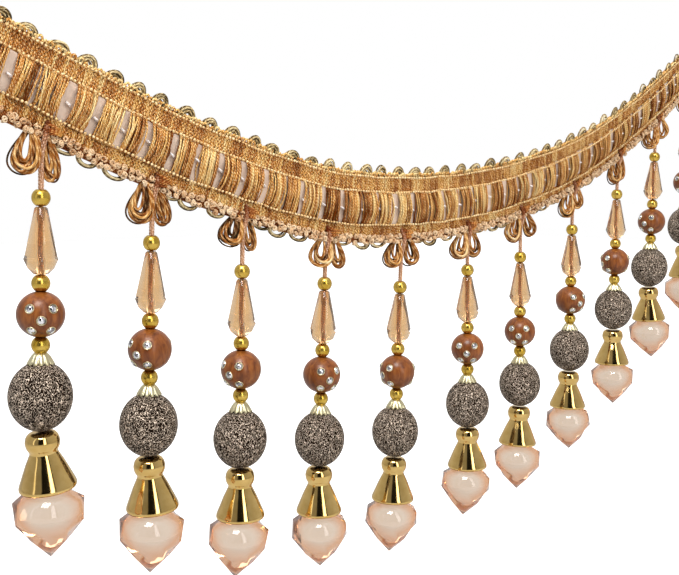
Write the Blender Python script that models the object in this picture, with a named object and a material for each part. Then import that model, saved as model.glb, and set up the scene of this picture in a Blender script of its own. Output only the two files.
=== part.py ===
"""A cut length of beaded fringe trim, hanging in a swag.

A woven gimp heading with a ribbon behind its yarn bundles carries eleven bead drops.
Metres, +Z up.  +X runs along the swag from left to right and the heading's back faces +Y.
The origin is on the heading's top edge, at its back, over the lowest point of the swag.
"""
import math

import bmesh
import bpy
import numpy as np
from mathutils import Matrix, Vector

MM = 0.001
GAP = 0.3 * MM                    # clearance kept between touching pieces

# Band: heights are measured up the band from the middle of its stitch rows.
DROP_PITCH = 26.6 * MM
DROPS_LEFT_OF_LOW_POINT = 4
DROP_COUNT = 11
BUNDLES_PER_DROP = 4
BUNDLE_GAP = 1.5 * MM
TOP_EDGE = 9.6 * MM
UPPER_STRIP_FOOT = 4.6 * MM
LOWER_STRIP_HEAD = -3.8 * MM
LOWER_STRIP_FOOT = -6.9 * MM
BOTTOM_EDGE = -9.3 * MM

STRIP_THICKNESS = 1.3 * MM
STITCH_ROW_THICKNESS = 1.9 * MM
BUNDLE_THICKNESS = 1.2 * MM
BUNDLE_BACK = 0.85 * MM           # height of the bundles' underside above the band's back
BUNDLE_BOW = 0.45 * MM            # how far a bundle stands forward at its middle
RIBBON_THICKNESS = 0.4 * MM
RIBBON_BACK = 0.15 * MM

# The swag, one row for each middle between two drops, from half a pitch before the first
# drop to half a pitch after the last.
SWAG_COLUMNS = ("slope_degrees", "forward_lean_degrees")
SWAG_ROWS = (
    (-22.2, 0.0),
    (-22.3, 0.0),
    (-16.9, 0.0),
    (-12.6, 0.0),
    (-2.5, 0.0),
    (3.0, 0.0),
    (10.2, 6.0),
    (16.1, 12.0),
    (22.6, 16.0),
    (27.6, 17.0),
    (30.4, 17.0),
    (38.0, 15.0),
)

# One row for each drop, from left to right.  The bell and the crystal hang at leans of their own.
DROP_COLUMNS = (
    "shift_mm", "cord_mm", "lean_degrees", "bell_lean_degrees", "crystal_lean_degrees", "turn_degrees")
DROP_ROWS = (
    (1.0, 11.6, -2.1, 5.4, 0.4, 0.0),
    (1.5, 11.6, -2.4, 3.6, -3.9, 33.0),
    (0.0, 11.9, -1.6, -0.1, -7.0, 71.0),
    (-0.5, 10.9, -2.6, -0.1, 1.4, 12.0),
    (-0.2, 12.3, -2.3, -2.8, -4.8, 95.0),
    (0.5, 10.8, 1.2, 0.7, -6.5, 48.0),
    (-1.0, 12.7, 1.4, -3.6, -0.1, 20.0),
    (0.9, 13.0, 0.3, -1.7, 5.5, 84.0),
    (2.8, 12.8, 0.0, -0.5, 6.0, 57.0),
    (4.2, 12.4, -1.6, 3.9, 11.0, 5.0),
    (4.0, 12.2, 1.2, 3.2, 3.2, 40.0),
)

# Loops of each bow, from left to right.
BOW_COLUMNS = ("root_mm", "tilt_degrees", "length_mm", "half_width_mm", "back_tilt_degrees")
BOW_ROWS = (
    (-2.7, -24.0, 8.4, 2.2, -9.0),
    (-1.7, -10.0, 9.2, 1.8, 13.0),
    (1.7, 6.0, 9.2, 1.2, -13.0),
    (2.6, 17.0, 8.2, 1.6, 9.0),
)
BOW_YARN_RADIUS = 0.42 * MM
BOW_LEG_SPACING = 0.8 * MM
BOW_CORD = 11.6 * MM              # cord length that the bow lengths above go with

PICOT_THREAD_RADIUS = 0.36 * MM
UPPER_PICOT_RISE = 1.9 * MM
LOWER_PICOT_DROP = 2.2 * MM
LOWER_PICOT_HALF_WIDTH = 2.3 * MM
LOWER_PICOTS_AFTER_DROP = (9.6 * MM, 17.2 * MM)

# Drop pieces: depths are measured down from the middle of the top gold bead.
CORD_RADIUS = 0.5 * MM
BORE_RADIUS = 0.8 * MM
HANG_PLANE = 1.0 * MM             # how far the drops hang in front of the heading's back
GOLD_BEAD_RADIUS = 2.0 * MM
GOLD_BEAD_HALF_HEIGHT = 1.6 * MM
GOLD_BEAD_DEPTHS = (0.0, 17.5 * MM, 30.3 * MM)
WOOD_BEAD_RADIUS = 4.9 * MM
WOOD_BEAD_HALF_HEIGHT = 4.8 * MM
WOOD_BEAD_DEPTH = 23.9 * MM
BALL_RADIUS = 6.55 * MM
BALL_HALF_HEIGHT = 7.3 * MM
BALL_DEPTH = 41.0 * MM
BELL_PIVOT_DEPTH = 47.3 * MM      # the bell leans about this point of the cord
CRYSTAL_PIVOT_DEPTH = 60.2 * MM   # and the crystal about this point of the bell's axis
BEAD_LATITUDES = (75.0, 38.0, 0.0, -38.0, -75.0)

GOLD = ("gold_metal", (0.83, 0.62, 0.22), 1.0, 0.18)
TAN_YARN = ("tan_yarn", (0.70, 0.45, 0.20), 0.0, 0.55)
OLIVE_THREAD = ("olive_thread", (0.50, 0.42, 0.25), 0.0, 0.5)
PINK_YARN = ("pink_beige_yarn", (0.80, 0.58, 0.42), 0.0, 0.6)
RIBBON_SATIN = ("ribbon_satin", (0.80, 0.66, 0.58), 0.0, 0.4)
PEACH_ACRYLIC = ("peach_acrylic", (0.85, 0.55, 0.32), 0.0, 0.08)
WOOD = ("brown_bead", (0.45, 0.22, 0.11), 0.0, 0.35)
BRONZE = ("bronze_ball", (0.25, 0.20, 0.17), 0.6, 0.45)
CLEAR_ACRYLIC = ("clear_acrylic", (0.98, 0.80, 0.68), 0.0, 0.03)


# ---- Scene helpers

def clear_scene():
    for item in list(bpy.data.objects):
        bpy.data.objects.remove(item, do_unlink=True)


def make_material(finish, name):
    """A plain Principled material from a finish row, one for each object."""
    label, colour, metallic, roughness = finish
    material = bpy.data.materials.new(f"{label}_{name}")
    material.use_nodes = True
    shader = material.node_tree.nodes["Principled BSDF"]
    shader.inputs["Base Color"].default_value = (*colour, 1.0)
    shader.inputs["Metallic"].default_value = metallic
    shader.inputs["Roughness"].default_value = roughness
    return material


def link_object(name, mesh, finish):
    piece = bpy.data.objects.new(name, mesh)
    bpy.context.collection.objects.link(piece)
    mesh.materials.append(make_material(finish, name))
    return piece


def closed_mesh(name, points, faces):
    """A mesh whose faces all point out."""
    mesh = bpy.data.meshes.new(name)
    mesh.from_pydata([tuple(point) for point in points], [], faces)
    work = bmesh.new()
    work.from_mesh(mesh)
    bmesh.ops.recalc_face_normals(work, faces=work.faces)
    work.to_mesh(mesh)
    work.free()
    return mesh


# ---- The swag

def pitch_to_length(pitches):
    return pitches * DROP_PITCH


SWAG_START = pitch_to_length(-DROPS_LEFT_OF_LOW_POINT - 0.5)
BUNDLE_PITCH = DROP_PITCH / BUNDLES_PER_DROP
BUNDLE_COUNT = DROP_COUNT * BUNDLES_PER_DROP + 1
LEFT_END = SWAG_START - BUNDLE_PITCH / 2
RIGHT_END = LEFT_END + BUNDLE_COUNT * BUNDLE_PITCH


def swag_column(column, lengths):
    """Smooth value of one swag column at lengths along the band (Catmull-Rom)."""
    values = np.array([row[SWAG_COLUMNS.index(column)] for row in SWAG_ROWS])
    padded = np.concatenate([values[:1], values, values[-1:]])
    place = np.clip((lengths - SWAG_START) / DROP_PITCH, 0, len(values) - 1)
    first = np.minimum(place.astype(int), len(values) - 2)
    part = place - first
    before, start, end, after = (padded[first + step] for step in range(4))
    return start + 0.5 * part * (
        end - before
        + part * (2 * before - 5 * start + 4 * end - after + part * (3 * (start - end) + after - before))
    )


TRACE = np.linspace(LEFT_END, RIGHT_END, 1201)
TRACE_SLOPE = np.radians(swag_column("slope_degrees", TRACE))
TRACE_STEP = TRACE[1] - TRACE[0]


def running_sum(rates):
    """Trapezium sum along the trace, zero at the swag's low point."""
    total = np.concatenate([[0.0], np.cumsum((rates[1:] + rates[:-1]) / 2) * TRACE_STEP])
    return total - np.interp(0.0, TRACE, total)


TRACE_X = running_sum(np.cos(TRACE_SLOPE))
TRACE_Z = running_sum(np.sin(TRACE_SLOPE))


def raw_band_points(lengths, heights, thicknesses):
    """Points at a length along the band, a height up it and a distance in front of its back.

    The band leans forward about its bottom edge, so that edge stays in one upright plane.
    It never leans back: its left half is upright.
    """
    lengths, heights, thicknesses = np.broadcast_arrays(
        np.asarray(lengths, float), np.asarray(heights, float), np.asarray(thicknesses, float))
    slope = np.radians(swag_column("slope_degrees", lengths))
    lean = np.radians(np.maximum(swag_column("forward_lean_degrees", lengths), 0.0))
    zero = np.zeros_like(slope)
    along = np.stack([np.cos(slope), zero, np.sin(slope)], axis=-1)
    level_up = np.stack([-np.sin(slope), zero, np.cos(slope)], axis=-1)
    up = np.stack(
        [-np.sin(slope) * np.cos(lean), -np.sin(lean), np.cos(slope) * np.cos(lean)], axis=-1)
    front = np.cross(along, up)
    centre = np.stack(
        [np.interp(lengths, TRACE, TRACE_X), zero, np.interp(lengths, TRACE, TRACE_Z)], axis=-1)
    return (
        centre
        + level_up * BOTTOM_EDGE
        + up * (heights - BOTTOM_EDGE)[..., None]
        + front * thicknesses[..., None]
    )


ORIGIN = raw_band_points(0.0, TOP_EDGE, 0.0)


def band_points(lengths, heights, thicknesses):
    return raw_band_points(lengths, heights, thicknesses) - ORIGIN


def bundle_edges():
    """Lengths of the left and right edges of every bundle, in order along the band."""
    starts = LEFT_END + BUNDLE_PITCH * np.arange(BUNDLE_COUNT)
    return np.stack([starts + BUNDLE_GAP / 2, starts + BUNDLE_PITCH - BUNDLE_GAP / 2], axis=1).ravel()


# ---- Strips

def swept_strip(lengths, section):
    """Points and faces of a closed section (height, thickness) carried along the band."""
    heights, thicknesses = np.array(section).T
    points = band_points(lengths[:, None], heights[None, :], thicknesses[None, :])
    sides = len(section)
    faces = []
    for ring in range(len(lengths) - 1):
        for side in range(sides):
            after = (side + 1) % sides
            low, high = ring * sides, (ring + 1) * sides
            faces.append((low + side, low + after, high + after, high + side))
    faces.append(tuple(range(sides)))
    faces.append(tuple((len(lengths) - 1) * sides + side for side in range(sides)))
    return points.reshape(-1, 3), faces


def even_lengths(step):
    count = max(2, round((RIGHT_END - LEFT_END) / step) + 1)
    return np.linspace(LEFT_END, RIGHT_END, count)


def rail_sections():
    """The two woven strips.  Points 1 and 2 of each bound the face that the bundles leave."""
    upper = (
        (UPPER_STRIP_FOOT, 0.0),
        (UPPER_STRIP_FOOT, BUNDLE_BACK),
        (UPPER_STRIP_FOOT, STITCH_ROW_THICKNESS),
        (TOP_EDGE, STRIP_THICKNESS),
        (TOP_EDGE, 0.0),
    )
    lower = (
        (LOWER_STRIP_HEAD, 0.0),
        (LOWER_STRIP_HEAD, BUNDLE_BACK),
        (LOWER_STRIP_HEAD, STITCH_ROW_THICKNESS),
        (LOWER_STRIP_FOOT, STRIP_THICKNESS),
        (LOWER_STRIP_FOOT, 0.0),
    )
    return upper, lower


def make_heading():
    """Two woven strips joined by bowed bundles of yarn, open between the bundles."""
    lengths = np.concatenate([[LEFT_END], bundle_edges(), [RIGHT_END]])
    upper, lower = rail_sections()
    upper_points, upper_faces = swept_strip(lengths, upper)
    lower_points, lower_faces = swept_strip(lengths, lower)
    sides = len(upper)
    shift = len(upper_points)
    middle = (UPPER_STRIP_FOOT + LOWER_STRIP_HEAD) / 2
    bow_back = band_points(lengths, middle, BUNDLE_BACK + BUNDLE_BOW / 2)
    bow_front = band_points(lengths, middle, BUNDLE_BACK + BUNDLE_THICKNESS + BUNDLE_BOW)
    back_shift = shift + len(lower_points)
    front_shift = back_shift + len(lengths)
    faces = []
    for rail, first in ((upper_faces, 0), (lower_faces, shift)):
        for number, face in enumerate(rail):
            ring, side = divmod(number, sides)
            in_bundle = ring % 2 == 1 and ring < len(lengths) - 1
            if not (in_bundle and side == 1):
                faces.append(tuple(first + corner for corner in face))
    for ring in range(1, len(lengths) - 2, 2):
        for face in bundle_faces(ring, sides, shift, back_shift, front_shift):
            faces.append(face)
    points = np.concatenate([upper_points, lower_points, bow_back, bow_front])
    used = sorted({corner for face in faces for corner in face})
    renumber = {old: new for new, old in enumerate(used)}
    faces = [tuple(renumber[corner] for corner in face) for face in faces]
    return link_object("heading", closed_mesh("heading", points[used], faces), TAN_YARN)


def bundle_faces(ring, sides, shift, back_shift, front_shift):
    """Faces of one bundle, from the upper strip's edge to the lower strip's."""
    faces = []
    left = (ring * sides, back_shift + ring, front_shift + ring, shift + ring * sides)
    right = ((ring + 1) * sides, back_shift + ring + 1, front_shift + ring + 1, shift + (ring + 1) * sides)
    for upper_rail, back, front, lower_rail in (left, right):
        faces.append((upper_rail + 1, upper_rail + 2, front, back))
        faces.append((back, front, lower_rail + 2, lower_rail + 1))
    for left_chain, right_chain in (
        ((left[0] + 1, left[1], left[3] + 1), (right[0] + 1, right[1], right[3] + 1)),
        ((left[0] + 2, left[2], left[3] + 2), (right[0] + 2, right[2], right[3] + 2)),
    ):
        for step in range(2):
            faces.append((left_chain[step], left_chain[step + 1], right_chain[step + 1], right_chain[step]))
    return faces


def make_ribbon():
    """The ribbon that runs behind the bundles, between the two woven strips."""
    head = UPPER_STRIP_FOOT - GAP
    foot = LOWER_STRIP_HEAD + GAP
    front = RIBBON_BACK + RIBBON_THICKNESS
    section = ((foot, RIBBON_BACK), (foot, front), (head, front), (head, RIBBON_BACK))
    points, faces = swept_strip(even_lengths(DROP_PITCH / 2), section)
    return link_object("ribbon", closed_mesh("ribbon", points, faces), RIBBON_SATIN)


# ---- Threads and loops

def tube(path, radius, sides=3):
    """Points and faces of a closed thread along a path, with its ends filled."""
    path = np.asarray(path)
    ahead = np.gradient(path, axis=0)
    ahead /= np.linalg.norm(ahead, axis=1)[:, None]
    depth = np.array([0.0, 1.0, 0.0])
    side = np.cross(ahead, depth)
    side /= np.linalg.norm(side, axis=1)[:, None]
    level = np.cross(side, ahead)
    turn = 2 * math.pi * np.arange(sides) / sides
    rings = path[:, None, :] + radius * (
        np.cos(turn)[None, :, None] * level[:, None, :] + np.sin(turn)[None, :, None] * side[:, None, :])
    faces = []
    for ring in range(len(path) - 1):
        for corner in range(sides):
            after = (corner + 1) % sides
            low, high = ring * sides, (ring + 1) * sides
            faces.append((low + corner, low + after, high + after, high + corner))
    faces.append(tuple(range(sides)))
    faces.append(tuple((len(path) - 1) * sides + corner for corner in range(sides)))
    return rings.reshape(-1, 3), faces


def join_shells(shells):
    """Several closed shells as one list of points and faces."""
    points, faces, count = [], [], 0
    for shell_points, shell_faces in shells:
        points.append(shell_points)
        faces += [tuple(corner + count for corner in face) for face in shell_faces]
        count += len(shell_points)
    return np.concatenate(points), faces


def make_upper_picots():
    """One thread that rises in a rounded picot over each bundle, along the top edge."""
    wave = ((0.10, 0.0), (0.16, 0.62), (0.42, 1.0), (0.70, 0.66), (0.78, 0.0))
    foot = TOP_EDGE + GAP + PICOT_THREAD_RADIUS
    starts = LEFT_END + BUNDLE_PITCH * np.arange(BUNDLE_COUNT)
    lengths = [start + share * BUNDLE_PITCH for start in starts for share, rise in wave]
    heights = [foot + rise * UPPER_PICOT_RISE for start in starts for share, rise in wave]
    path = band_points(lengths, heights, STRIP_THICKNESS / 2)
    points, faces = tube(path, PICOT_THREAD_RADIUS)
    return link_object("upper_picots", closed_mesh("upper_picots", points, faces), OLIVE_THREAD)


def drop_values():
    """One dictionary for each drop, with its length along the band."""
    drops = []
    for number, row in enumerate(DROP_ROWS):
        drop = dict(zip(DROP_COLUMNS, row))
        root = pitch_to_length(number - DROPS_LEFT_OF_LOW_POINT)
        drop["number"] = number + 1
        drop["length"] = root + drop["shift_mm"] * MM
        drops.append(drop)
    return drops


def bow_loop(drop, row):
    """Path of one yarn loop: out of the edging, round and back in."""
    loop = dict(zip(BOW_COLUMNS, row))
    scale = drop["cord_mm"] * MM / BOW_CORD
    turns = np.linspace(0.0, 1.0, 7)
    reach = (1 - np.cos(2 * math.pi * turns)) / 2
    down = loop["length_mm"] * MM * scale * reach
    across = loop["half_width_mm"] * MM * np.sin(2 * math.pi * turns) * (0.35 + 0.65 * reach) * 1.3
    across += BOW_LEG_SPACING * (0.5 - turns)
    tilt = math.radians(loop["tilt_degrees"])
    back_tilt = math.radians(loop["back_tilt_degrees"])
    root = band_points(drop["length"], BOTTOM_EDGE, HANG_PLANE)
    sideways = loop["root_mm"] * MM + across * math.cos(tilt) + down * math.sin(tilt)
    slope = math.radians(float(swag_column("slope_degrees", np.array(drop["length"]))))
    edge_rise = loop["root_mm"] * MM * math.tan(slope)
    bury = 0.9 * MM
    path = np.stack([
        root[0] + sideways,
        root[1] + down * math.sin(back_tilt),
        root[2] + edge_rise + bury - (down + bury * reach) * math.cos(tilt) + across * math.sin(tilt) * reach,
    ], axis=1)
    return tube(path, BOW_YARN_RADIUS)


def lower_picot(length):
    """Path of one short thread loop under the edging."""
    turns = np.linspace(0.0, math.pi, 5)
    lengths = length - LOWER_PICOT_HALF_WIDTH * np.cos(turns)
    heights = BOTTOM_EDGE + 0.8 * MM - (LOWER_PICOT_DROP + 0.8 * MM) * np.sin(turns)
    return tube(band_points(lengths, heights, HANG_PLANE), PICOT_THREAD_RADIUS)


def make_lower_edging():
    """The knotted edging strip, with its short picots and the loop bow of every drop."""
    head = LOWER_STRIP_FOOT - GAP
    section = (
        (head, 0.0),
        (head, 1.5 * MM),
        (BOTTOM_EDGE, 1.8 * MM),
        (BOTTOM_EDGE, 0.0),
    )
    points, faces = swept_strip(even_lengths(DROP_PITCH / 2), section)
    edging = link_object("lower_edging", closed_mesh("lower_edging", points, faces), PINK_YARN)
    shells = []
    for drop in drop_values():
        shells += [bow_loop(drop, row) for row in BOW_ROWS]
        root = pitch_to_length(drop["number"] - 1 - DROPS_LEFT_OF_LOW_POINT)
        for after in LOWER_PICOTS_AFTER_DROP:
            if root + after + LOWER_PICOT_HALF_WIDTH < RIGHT_END:
                shells.append(lower_picot(root + after))
    loop_points, loop_faces = join_shells(shells)
    loops = link_object("edging_loops", closed_mesh("edging_loops", loop_points, loop_faces), PINK_YARN)
    loops.hide_render = True
    loops.display_type = "WIRE"
    fuse = edging.modifiers.new("fuse_loops", "BOOLEAN")
    fuse.operation = "UNION"
    fuse.solver = "EXACT"
    fuse.use_self = True
    fuse.object = loops
    return edging


# ---- Turned pieces

def turned(name, profile, sides, finish, bored):
    """A piece turned about Z.  The profile runs (radius, height) and closes on a bore or the axis."""
    work = bmesh.new()
    corners = [work.verts.new((radius, 0.0, height)) for radius, height in profile]
    pairs = list(zip(corners, corners[1:]))
    if bored:
        pairs.append((corners[-1], corners[0]))
    edges = [work.edges.new(pair) for pair in pairs]
    bmesh.ops.spin(
        work, geom=corners + edges, cent=(0, 0, 0), axis=(0, 0, 1), angle=2 * math.pi,
        steps=sides, use_merge=True)
    bmesh.ops.remove_doubles(work, verts=work.verts, dist=1e-7)
    bmesh.ops.recalc_face_normals(work, faces=work.faces)
    mesh = bpy.data.meshes.new(name)
    work.to_mesh(mesh)
    work.free()
    mesh.shade_smooth()
    mesh.set_sharp_from_angle(angle=math.radians(40))
    return link_object(name, mesh, finish)


def bored_bead(radius, half_height, depth):
    """Profile of a round bead with a bore for the cord."""
    outer = [
        (radius * math.cos(math.radians(latitude)), half_height * math.sin(math.radians(latitude)) - depth)
        for latitude in BEAD_LATITUDES
    ]
    return outer + [(BORE_RADIUS, outer[-1][1]), (BORE_RADIUS, outer[0][1])]


def string_profile(cord_top):
    """The cord with all that is gold on it: three beads, the cap and the bell."""
    profile = [(0.0, cord_top), (CORD_RADIUS, cord_top)]
    belt = 0.6 * MM
    for depth in GOLD_BEAD_DEPTHS:
        profile += [
            (CORD_RADIUS, GOLD_BEAD_HALF_HEIGHT - depth),
            (GOLD_BEAD_RADIUS, belt - depth),
            (GOLD_BEAD_RADIUS, -belt - depth),
        ]
        if depth != GOLD_BEAD_DEPTHS[-1]:
            profile.append((CORD_RADIUS, -GOLD_BEAD_HALF_HEIGHT - depth))
    fluted_cap = ((1.1, 31.9), (2.65, 34.0), (0.5, 33.4))
    bell = (
        (0.5, 48.6), (2.7, 48.6), (3.45, 49.7), (3.5, 51.8), (3.35, 52.7), (6.0, 60.0), (5.85, 60.8),
        (5.2, 60.8), (4.9, 59.8), (0.0, 59.8))
    profile += [(radius * MM, -depth * MM) for radius, depth in fluted_cap + bell]
    return profile


def teardrop_profile():
    outer = ((1.4, 1.85), (3.4, 12.2), (2.85, 14.3), (1.45, 15.65))
    profile = [(radius * MM, -depth * MM) for radius, depth in outer]
    return profile + [(BORE_RADIUS, profile[-1][1]), (BORE_RADIUS, profile[0][1])]


def crystal_profile():
    outer = ((0.0, 61.1), (4.4, 61.1), (7.35, 63.3), (7.4, 67.4), (4.2, 71.7), (0.0, 75.7))
    return [(radius * MM, -depth * MM) for radius, depth in outer]


def downwards(degrees):
    lean = math.radians(degrees)
    return Vector((math.sin(lean), 0.0, -math.cos(lean)))


def make_holder(name, place, degrees):
    """An empty that leans by some degrees towards +X."""
    holder = bpy.data.objects.new(name, None)
    bpy.context.collection.objects.link(holder)
    holder.location = place
    holder.rotation_euler = (0.0, -math.radians(degrees), 0.0)
    return holder


def lean_bell(string, turn, degrees):
    """Turns the string about its axis, then leans its bell about a point under the ball."""
    string.data.transform(Matrix.Rotation(turn, 4, "Z"))
    pivot = Vector((0.0, 0.0, -BELL_PIVOT_DEPTH))
    swing = Matrix.Rotation(-math.radians(degrees), 3, "Y")
    for vertex in string.data.vertices:
        if vertex.co.z < pivot.z:
            vertex.co = pivot + swing @ (vertex.co - pivot)


def make_drop(drop):
    """One bead drop: an empty at the middle of its top gold bead, another for its crystal."""
    edge = band_points(drop["length"], BOTTOM_EDGE, 0.0)
    cord = drop["cord_mm"] * MM
    lean, bell_lean, crystal_lean = (
        drop["lean_degrees"], drop["bell_lean_degrees"], drop["crystal_lean_degrees"])
    top_bead = Vector((edge[0], edge[1] - HANG_PLANE, edge[2])) + cord * downwards(lean)
    crystal_pivot = (
        top_bead + BELL_PIVOT_DEPTH * downwards(lean)
        + (CRYSTAL_PIVOT_DEPTH - BELL_PIVOT_DEPTH) * downwards(bell_lean))
    number = f"{drop['number']:02d}"
    holder = make_holder(f"drop_{number}_holder", top_bead, lean)
    crystal_holder = make_holder(
        f"crystal_{number}_holder", crystal_pivot - CRYSTAL_PIVOT_DEPTH * downwards(crystal_lean), crystal_lean)

    slope = math.radians(float(swag_column("slope_degrees", np.array(drop["length"]))))
    cord_top = cord - GAP - CORD_RADIUS * abs(math.tan(slope))
    turn = math.radians(drop["turn_degrees"])
    string = turned(f"string_{number}", string_profile(cord_top), 8, GOLD, False)
    lean_bell(string, turn, bell_lean - lean)
    string.parent = holder
    wood_bead = bored_bead(WOOD_BEAD_RADIUS, WOOD_BEAD_HALF_HEIGHT, WOOD_BEAD_DEPTH)
    ball = bored_bead(BALL_RADIUS, BALL_HALF_HEIGHT, BALL_DEPTH)
    pieces = (
        (turned(f"teardrop_{number}", teardrop_profile(), 8, PEACH_ACRYLIC, True), holder),
        (turned(f"wood_bead_{number}", wood_bead, 8, WOOD, True), holder),
        (turned(f"ball_{number}", ball, 10, BRONZE, True), holder),
        (turned(f"crystal_{number}", crystal_profile(), 8, CLEAR_ACRYLIC, False), crystal_holder),
    )
    for piece, parent in pieces:
        piece.parent = parent
        piece.rotation_euler = (0.0, 0.0, turn)


def main():
    clear_scene()
    make_heading()
    make_ribbon()
    make_upper_picots()
    make_lower_edging()
    for drop in drop_values():
        make_drop(drop)
    bpy.context.view_layer.update()


main()
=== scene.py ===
import math

import bpy
import numpy as np
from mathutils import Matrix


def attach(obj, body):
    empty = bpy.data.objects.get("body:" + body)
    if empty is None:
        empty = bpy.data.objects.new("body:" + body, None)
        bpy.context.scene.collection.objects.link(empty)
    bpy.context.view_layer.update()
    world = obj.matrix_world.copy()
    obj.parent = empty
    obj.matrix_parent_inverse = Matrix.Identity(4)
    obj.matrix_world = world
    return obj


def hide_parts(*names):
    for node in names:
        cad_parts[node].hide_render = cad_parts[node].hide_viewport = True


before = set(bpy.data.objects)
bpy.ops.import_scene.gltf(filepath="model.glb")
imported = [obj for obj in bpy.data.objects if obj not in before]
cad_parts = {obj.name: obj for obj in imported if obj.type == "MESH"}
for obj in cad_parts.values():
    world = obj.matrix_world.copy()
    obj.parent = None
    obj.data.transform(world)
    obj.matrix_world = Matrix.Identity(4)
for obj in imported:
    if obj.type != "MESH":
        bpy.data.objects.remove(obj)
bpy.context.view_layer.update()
mm = 0.001
dice = np.random.default_rng(26)
print("frame loaded")


# Camera and light

camera = {
    "place": (-0.19120, -0.18593, -0.00344),
    "towards": (0.66812, 0.73671, -0.10453),
    "focalPixels": 950.0,
    "frameWidth": 679,
    "sensor": 36.0,
}

studio = {
    "floorHeight": -0.20,
    "floorHalf": 3.0,
    "floorGlow": 0.9,
    "white": 1.0,
    "throughGlass": 0.67,
    "room": 0.45,
    "roomLeft": 0.32,
    "roomBehind": 0.80,
    "ceiling": 1.20,
    "brightStrip": 4.5,
    "dimStrip": 2.0,
    "darkStrip": 0.01,
    "around": (
        # share of the way round, what stands there
        (0.0, "room"), (0.020, "dimStrip"), (0.030, "roomLeft"), (0.100, "roomLeft"),
        (0.108, "darkStrip"), (0.200, "darkStrip"), (0.208, "brightStrip"), (0.240, "brightStrip"),
        (0.248, "darkStrip"), (0.258, "darkStrip"), (0.268, "room"), (0.60, "roomBehind"), (1.0, "room"),
    ),
    "ceilingFade": ((0.0, 0.0), (0.80, 0.0), (0.88, 1.0), (1.0, 1.0)),  # height, share of ceiling
    "softboxAim": (0.0, 0.0, -0.06),
    "softboxes": (
        # place, size, power, shown in reflections
        ((-0.45, -0.35, 0.85), 0.40, 8.2, True),
        ((0.25, -0.80, 0.35), 0.40, 4.0, False),
        ((0.10, 0.55, 0.50), 0.50, 1.6, False),
    ),
}


def lookAt(item, place, towards):
    direction = -np.array(towards) / np.linalg.norm(towards)
    item.location = place
    item.rotation_euler = (math.acos(direction[2]), 0.0, math.atan2(direction[0], -direction[1]))


def addCamera():
    data = bpy.data.cameras.new("camera")
    data.sensor_width = camera["sensor"]
    data.lens = camera["focalPixels"] / camera["frameWidth"] * camera["sensor"]
    data.clip_start = 0.01
    eye = bpy.data.objects.new("camera", data)
    bpy.context.collection.objects.link(eye)
    lookAt(eye, camera["place"], camera["towards"])
    bpy.context.scene.camera = eye


def addNode(tree, kind, **settings):
    # settings are the node's own options
    node = tree.nodes.new("ShaderNode" + kind)
    for option, value in settings.items():
        setattr(node, option, value)
    return node


def join(tree, fromNode, fromSocket, toNode, toSocket):
    tree.links.new(fromNode.outputs[fromSocket], toNode.inputs[toSocket])


def feed(tree, node, socket, value):
    # a socket's value: a (node, output) pair, a colour or a number
    if isinstance(value, tuple) and isinstance(value[0], bpy.types.Node):
        join(tree, value[0], value[1], node, socket)
    elif isinstance(value, tuple):
        node.inputs[socket].default_value = (*value, 1.0)
    else:
        node.inputs[socket].default_value = value


def calculate(tree, operation, *values, clamp=False):
    # a Math node fed with numbers or (node, output) pairs
    node = addNode(tree, "Math", operation=operation, use_clamp=clamp)
    for slot, value in enumerate(values):
        feed(tree, node, slot, value)
    return (node, 0)


def mixColour(tree, factor, first, second, blend="MIX"):
    node = addNode(tree, "Mix", data_type="RGBA", blend_type=blend)
    for slot, value in ((0, factor), (6, first), (7, second)):
        feed(tree, node, slot, value)
    return (node, 2)


def ramp(tree, source, stops):
    # stops are (position, colour)
    node = addNode(tree, "ValToRGB")
    elements = node.color_ramp.elements
    while len(elements) < len(stops):
        elements.new(0.5)
    for element, (position, colour) in zip(elements, stops):
        element.position = position
        element.color = (*colour, 1.0)
    feed(tree, node, "Fac", source)
    return (node, "Color")


def grey(value):
    return (value, value, value)


def splitPlace(tree, kind, output, **settings):
    # a coordinate node split into X, Y and Z
    split = addNode(tree, "SeparateXYZ")
    join(tree, addNode(tree, kind, **settings), output, split, 0)
    return split


def addWorld():
    # white behind the object, grey through glass; in reflections a soft room with light and dark strips
    world = bpy.data.worlds.new("studio")
    world.use_nodes = True
    tree = world.node_tree
    tree.nodes.clear()
    output = addNode(tree, "OutputWorld")
    split = splitPlace(tree, "TexCoord", "Generated")
    turn = calculate(tree, "ARCTAN2", (split, "Y"), (split, "X"))
    share = calculate(tree, "MULTIPLY_ADD", turn, 1 / (2 * math.pi), 0.5)
    around = ramp(tree, share, [(place, grey(studio[key])) for place, key in studio["around"]])
    rise = ramp(tree, (split, "Z"), [(height, grey(level)) for height, level in studio["ceilingFade"]])
    roof = mixColour(tree, rise, around, grey(studio["ceiling"]))
    path = addNode(tree, "LightPath")
    inside = mixColour(tree, (path, "Is Transmission Ray"), roof, grey(studio["throughGlass"]))
    seen = mixColour(tree, (path, "Is Camera Ray"), inside, grey(studio["white"]))
    background = addNode(tree, "Background")
    feed(tree, background, "Color", seen)
    join(tree, background, 0, output, 0)
    bpy.context.scene.world = world


def addSoftboxes():
    aim = np.array(studio["softboxAim"])
    for number, (place, size, power, shown) in enumerate(studio["softboxes"]):
        data = bpy.data.lights.new(f"softbox{number}", "AREA")
        data.size = size
        data.energy = power
        box = bpy.data.objects.new(f"softbox{number}", data)
        bpy.context.collection.objects.link(box)
        box.visible_glossy = shown
        lookAt(box, place, aim - np.array(place))


addCamera()
addWorld()
addSoftboxes()
bpy.context.scene.view_settings.view_transform = "Standard"
print("camera and light ready")


# Meshes

def emptyShell():
    return {
        "points": np.zeros((0, 3)), "quads": np.zeros((0, 4), int), "triangles": np.zeros((0, 3), int),
        "quadUv": np.zeros((0, 4, 2)), "triangleUv": np.zeros((0, 3, 2)), "dye": np.zeros(0),
    }


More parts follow.
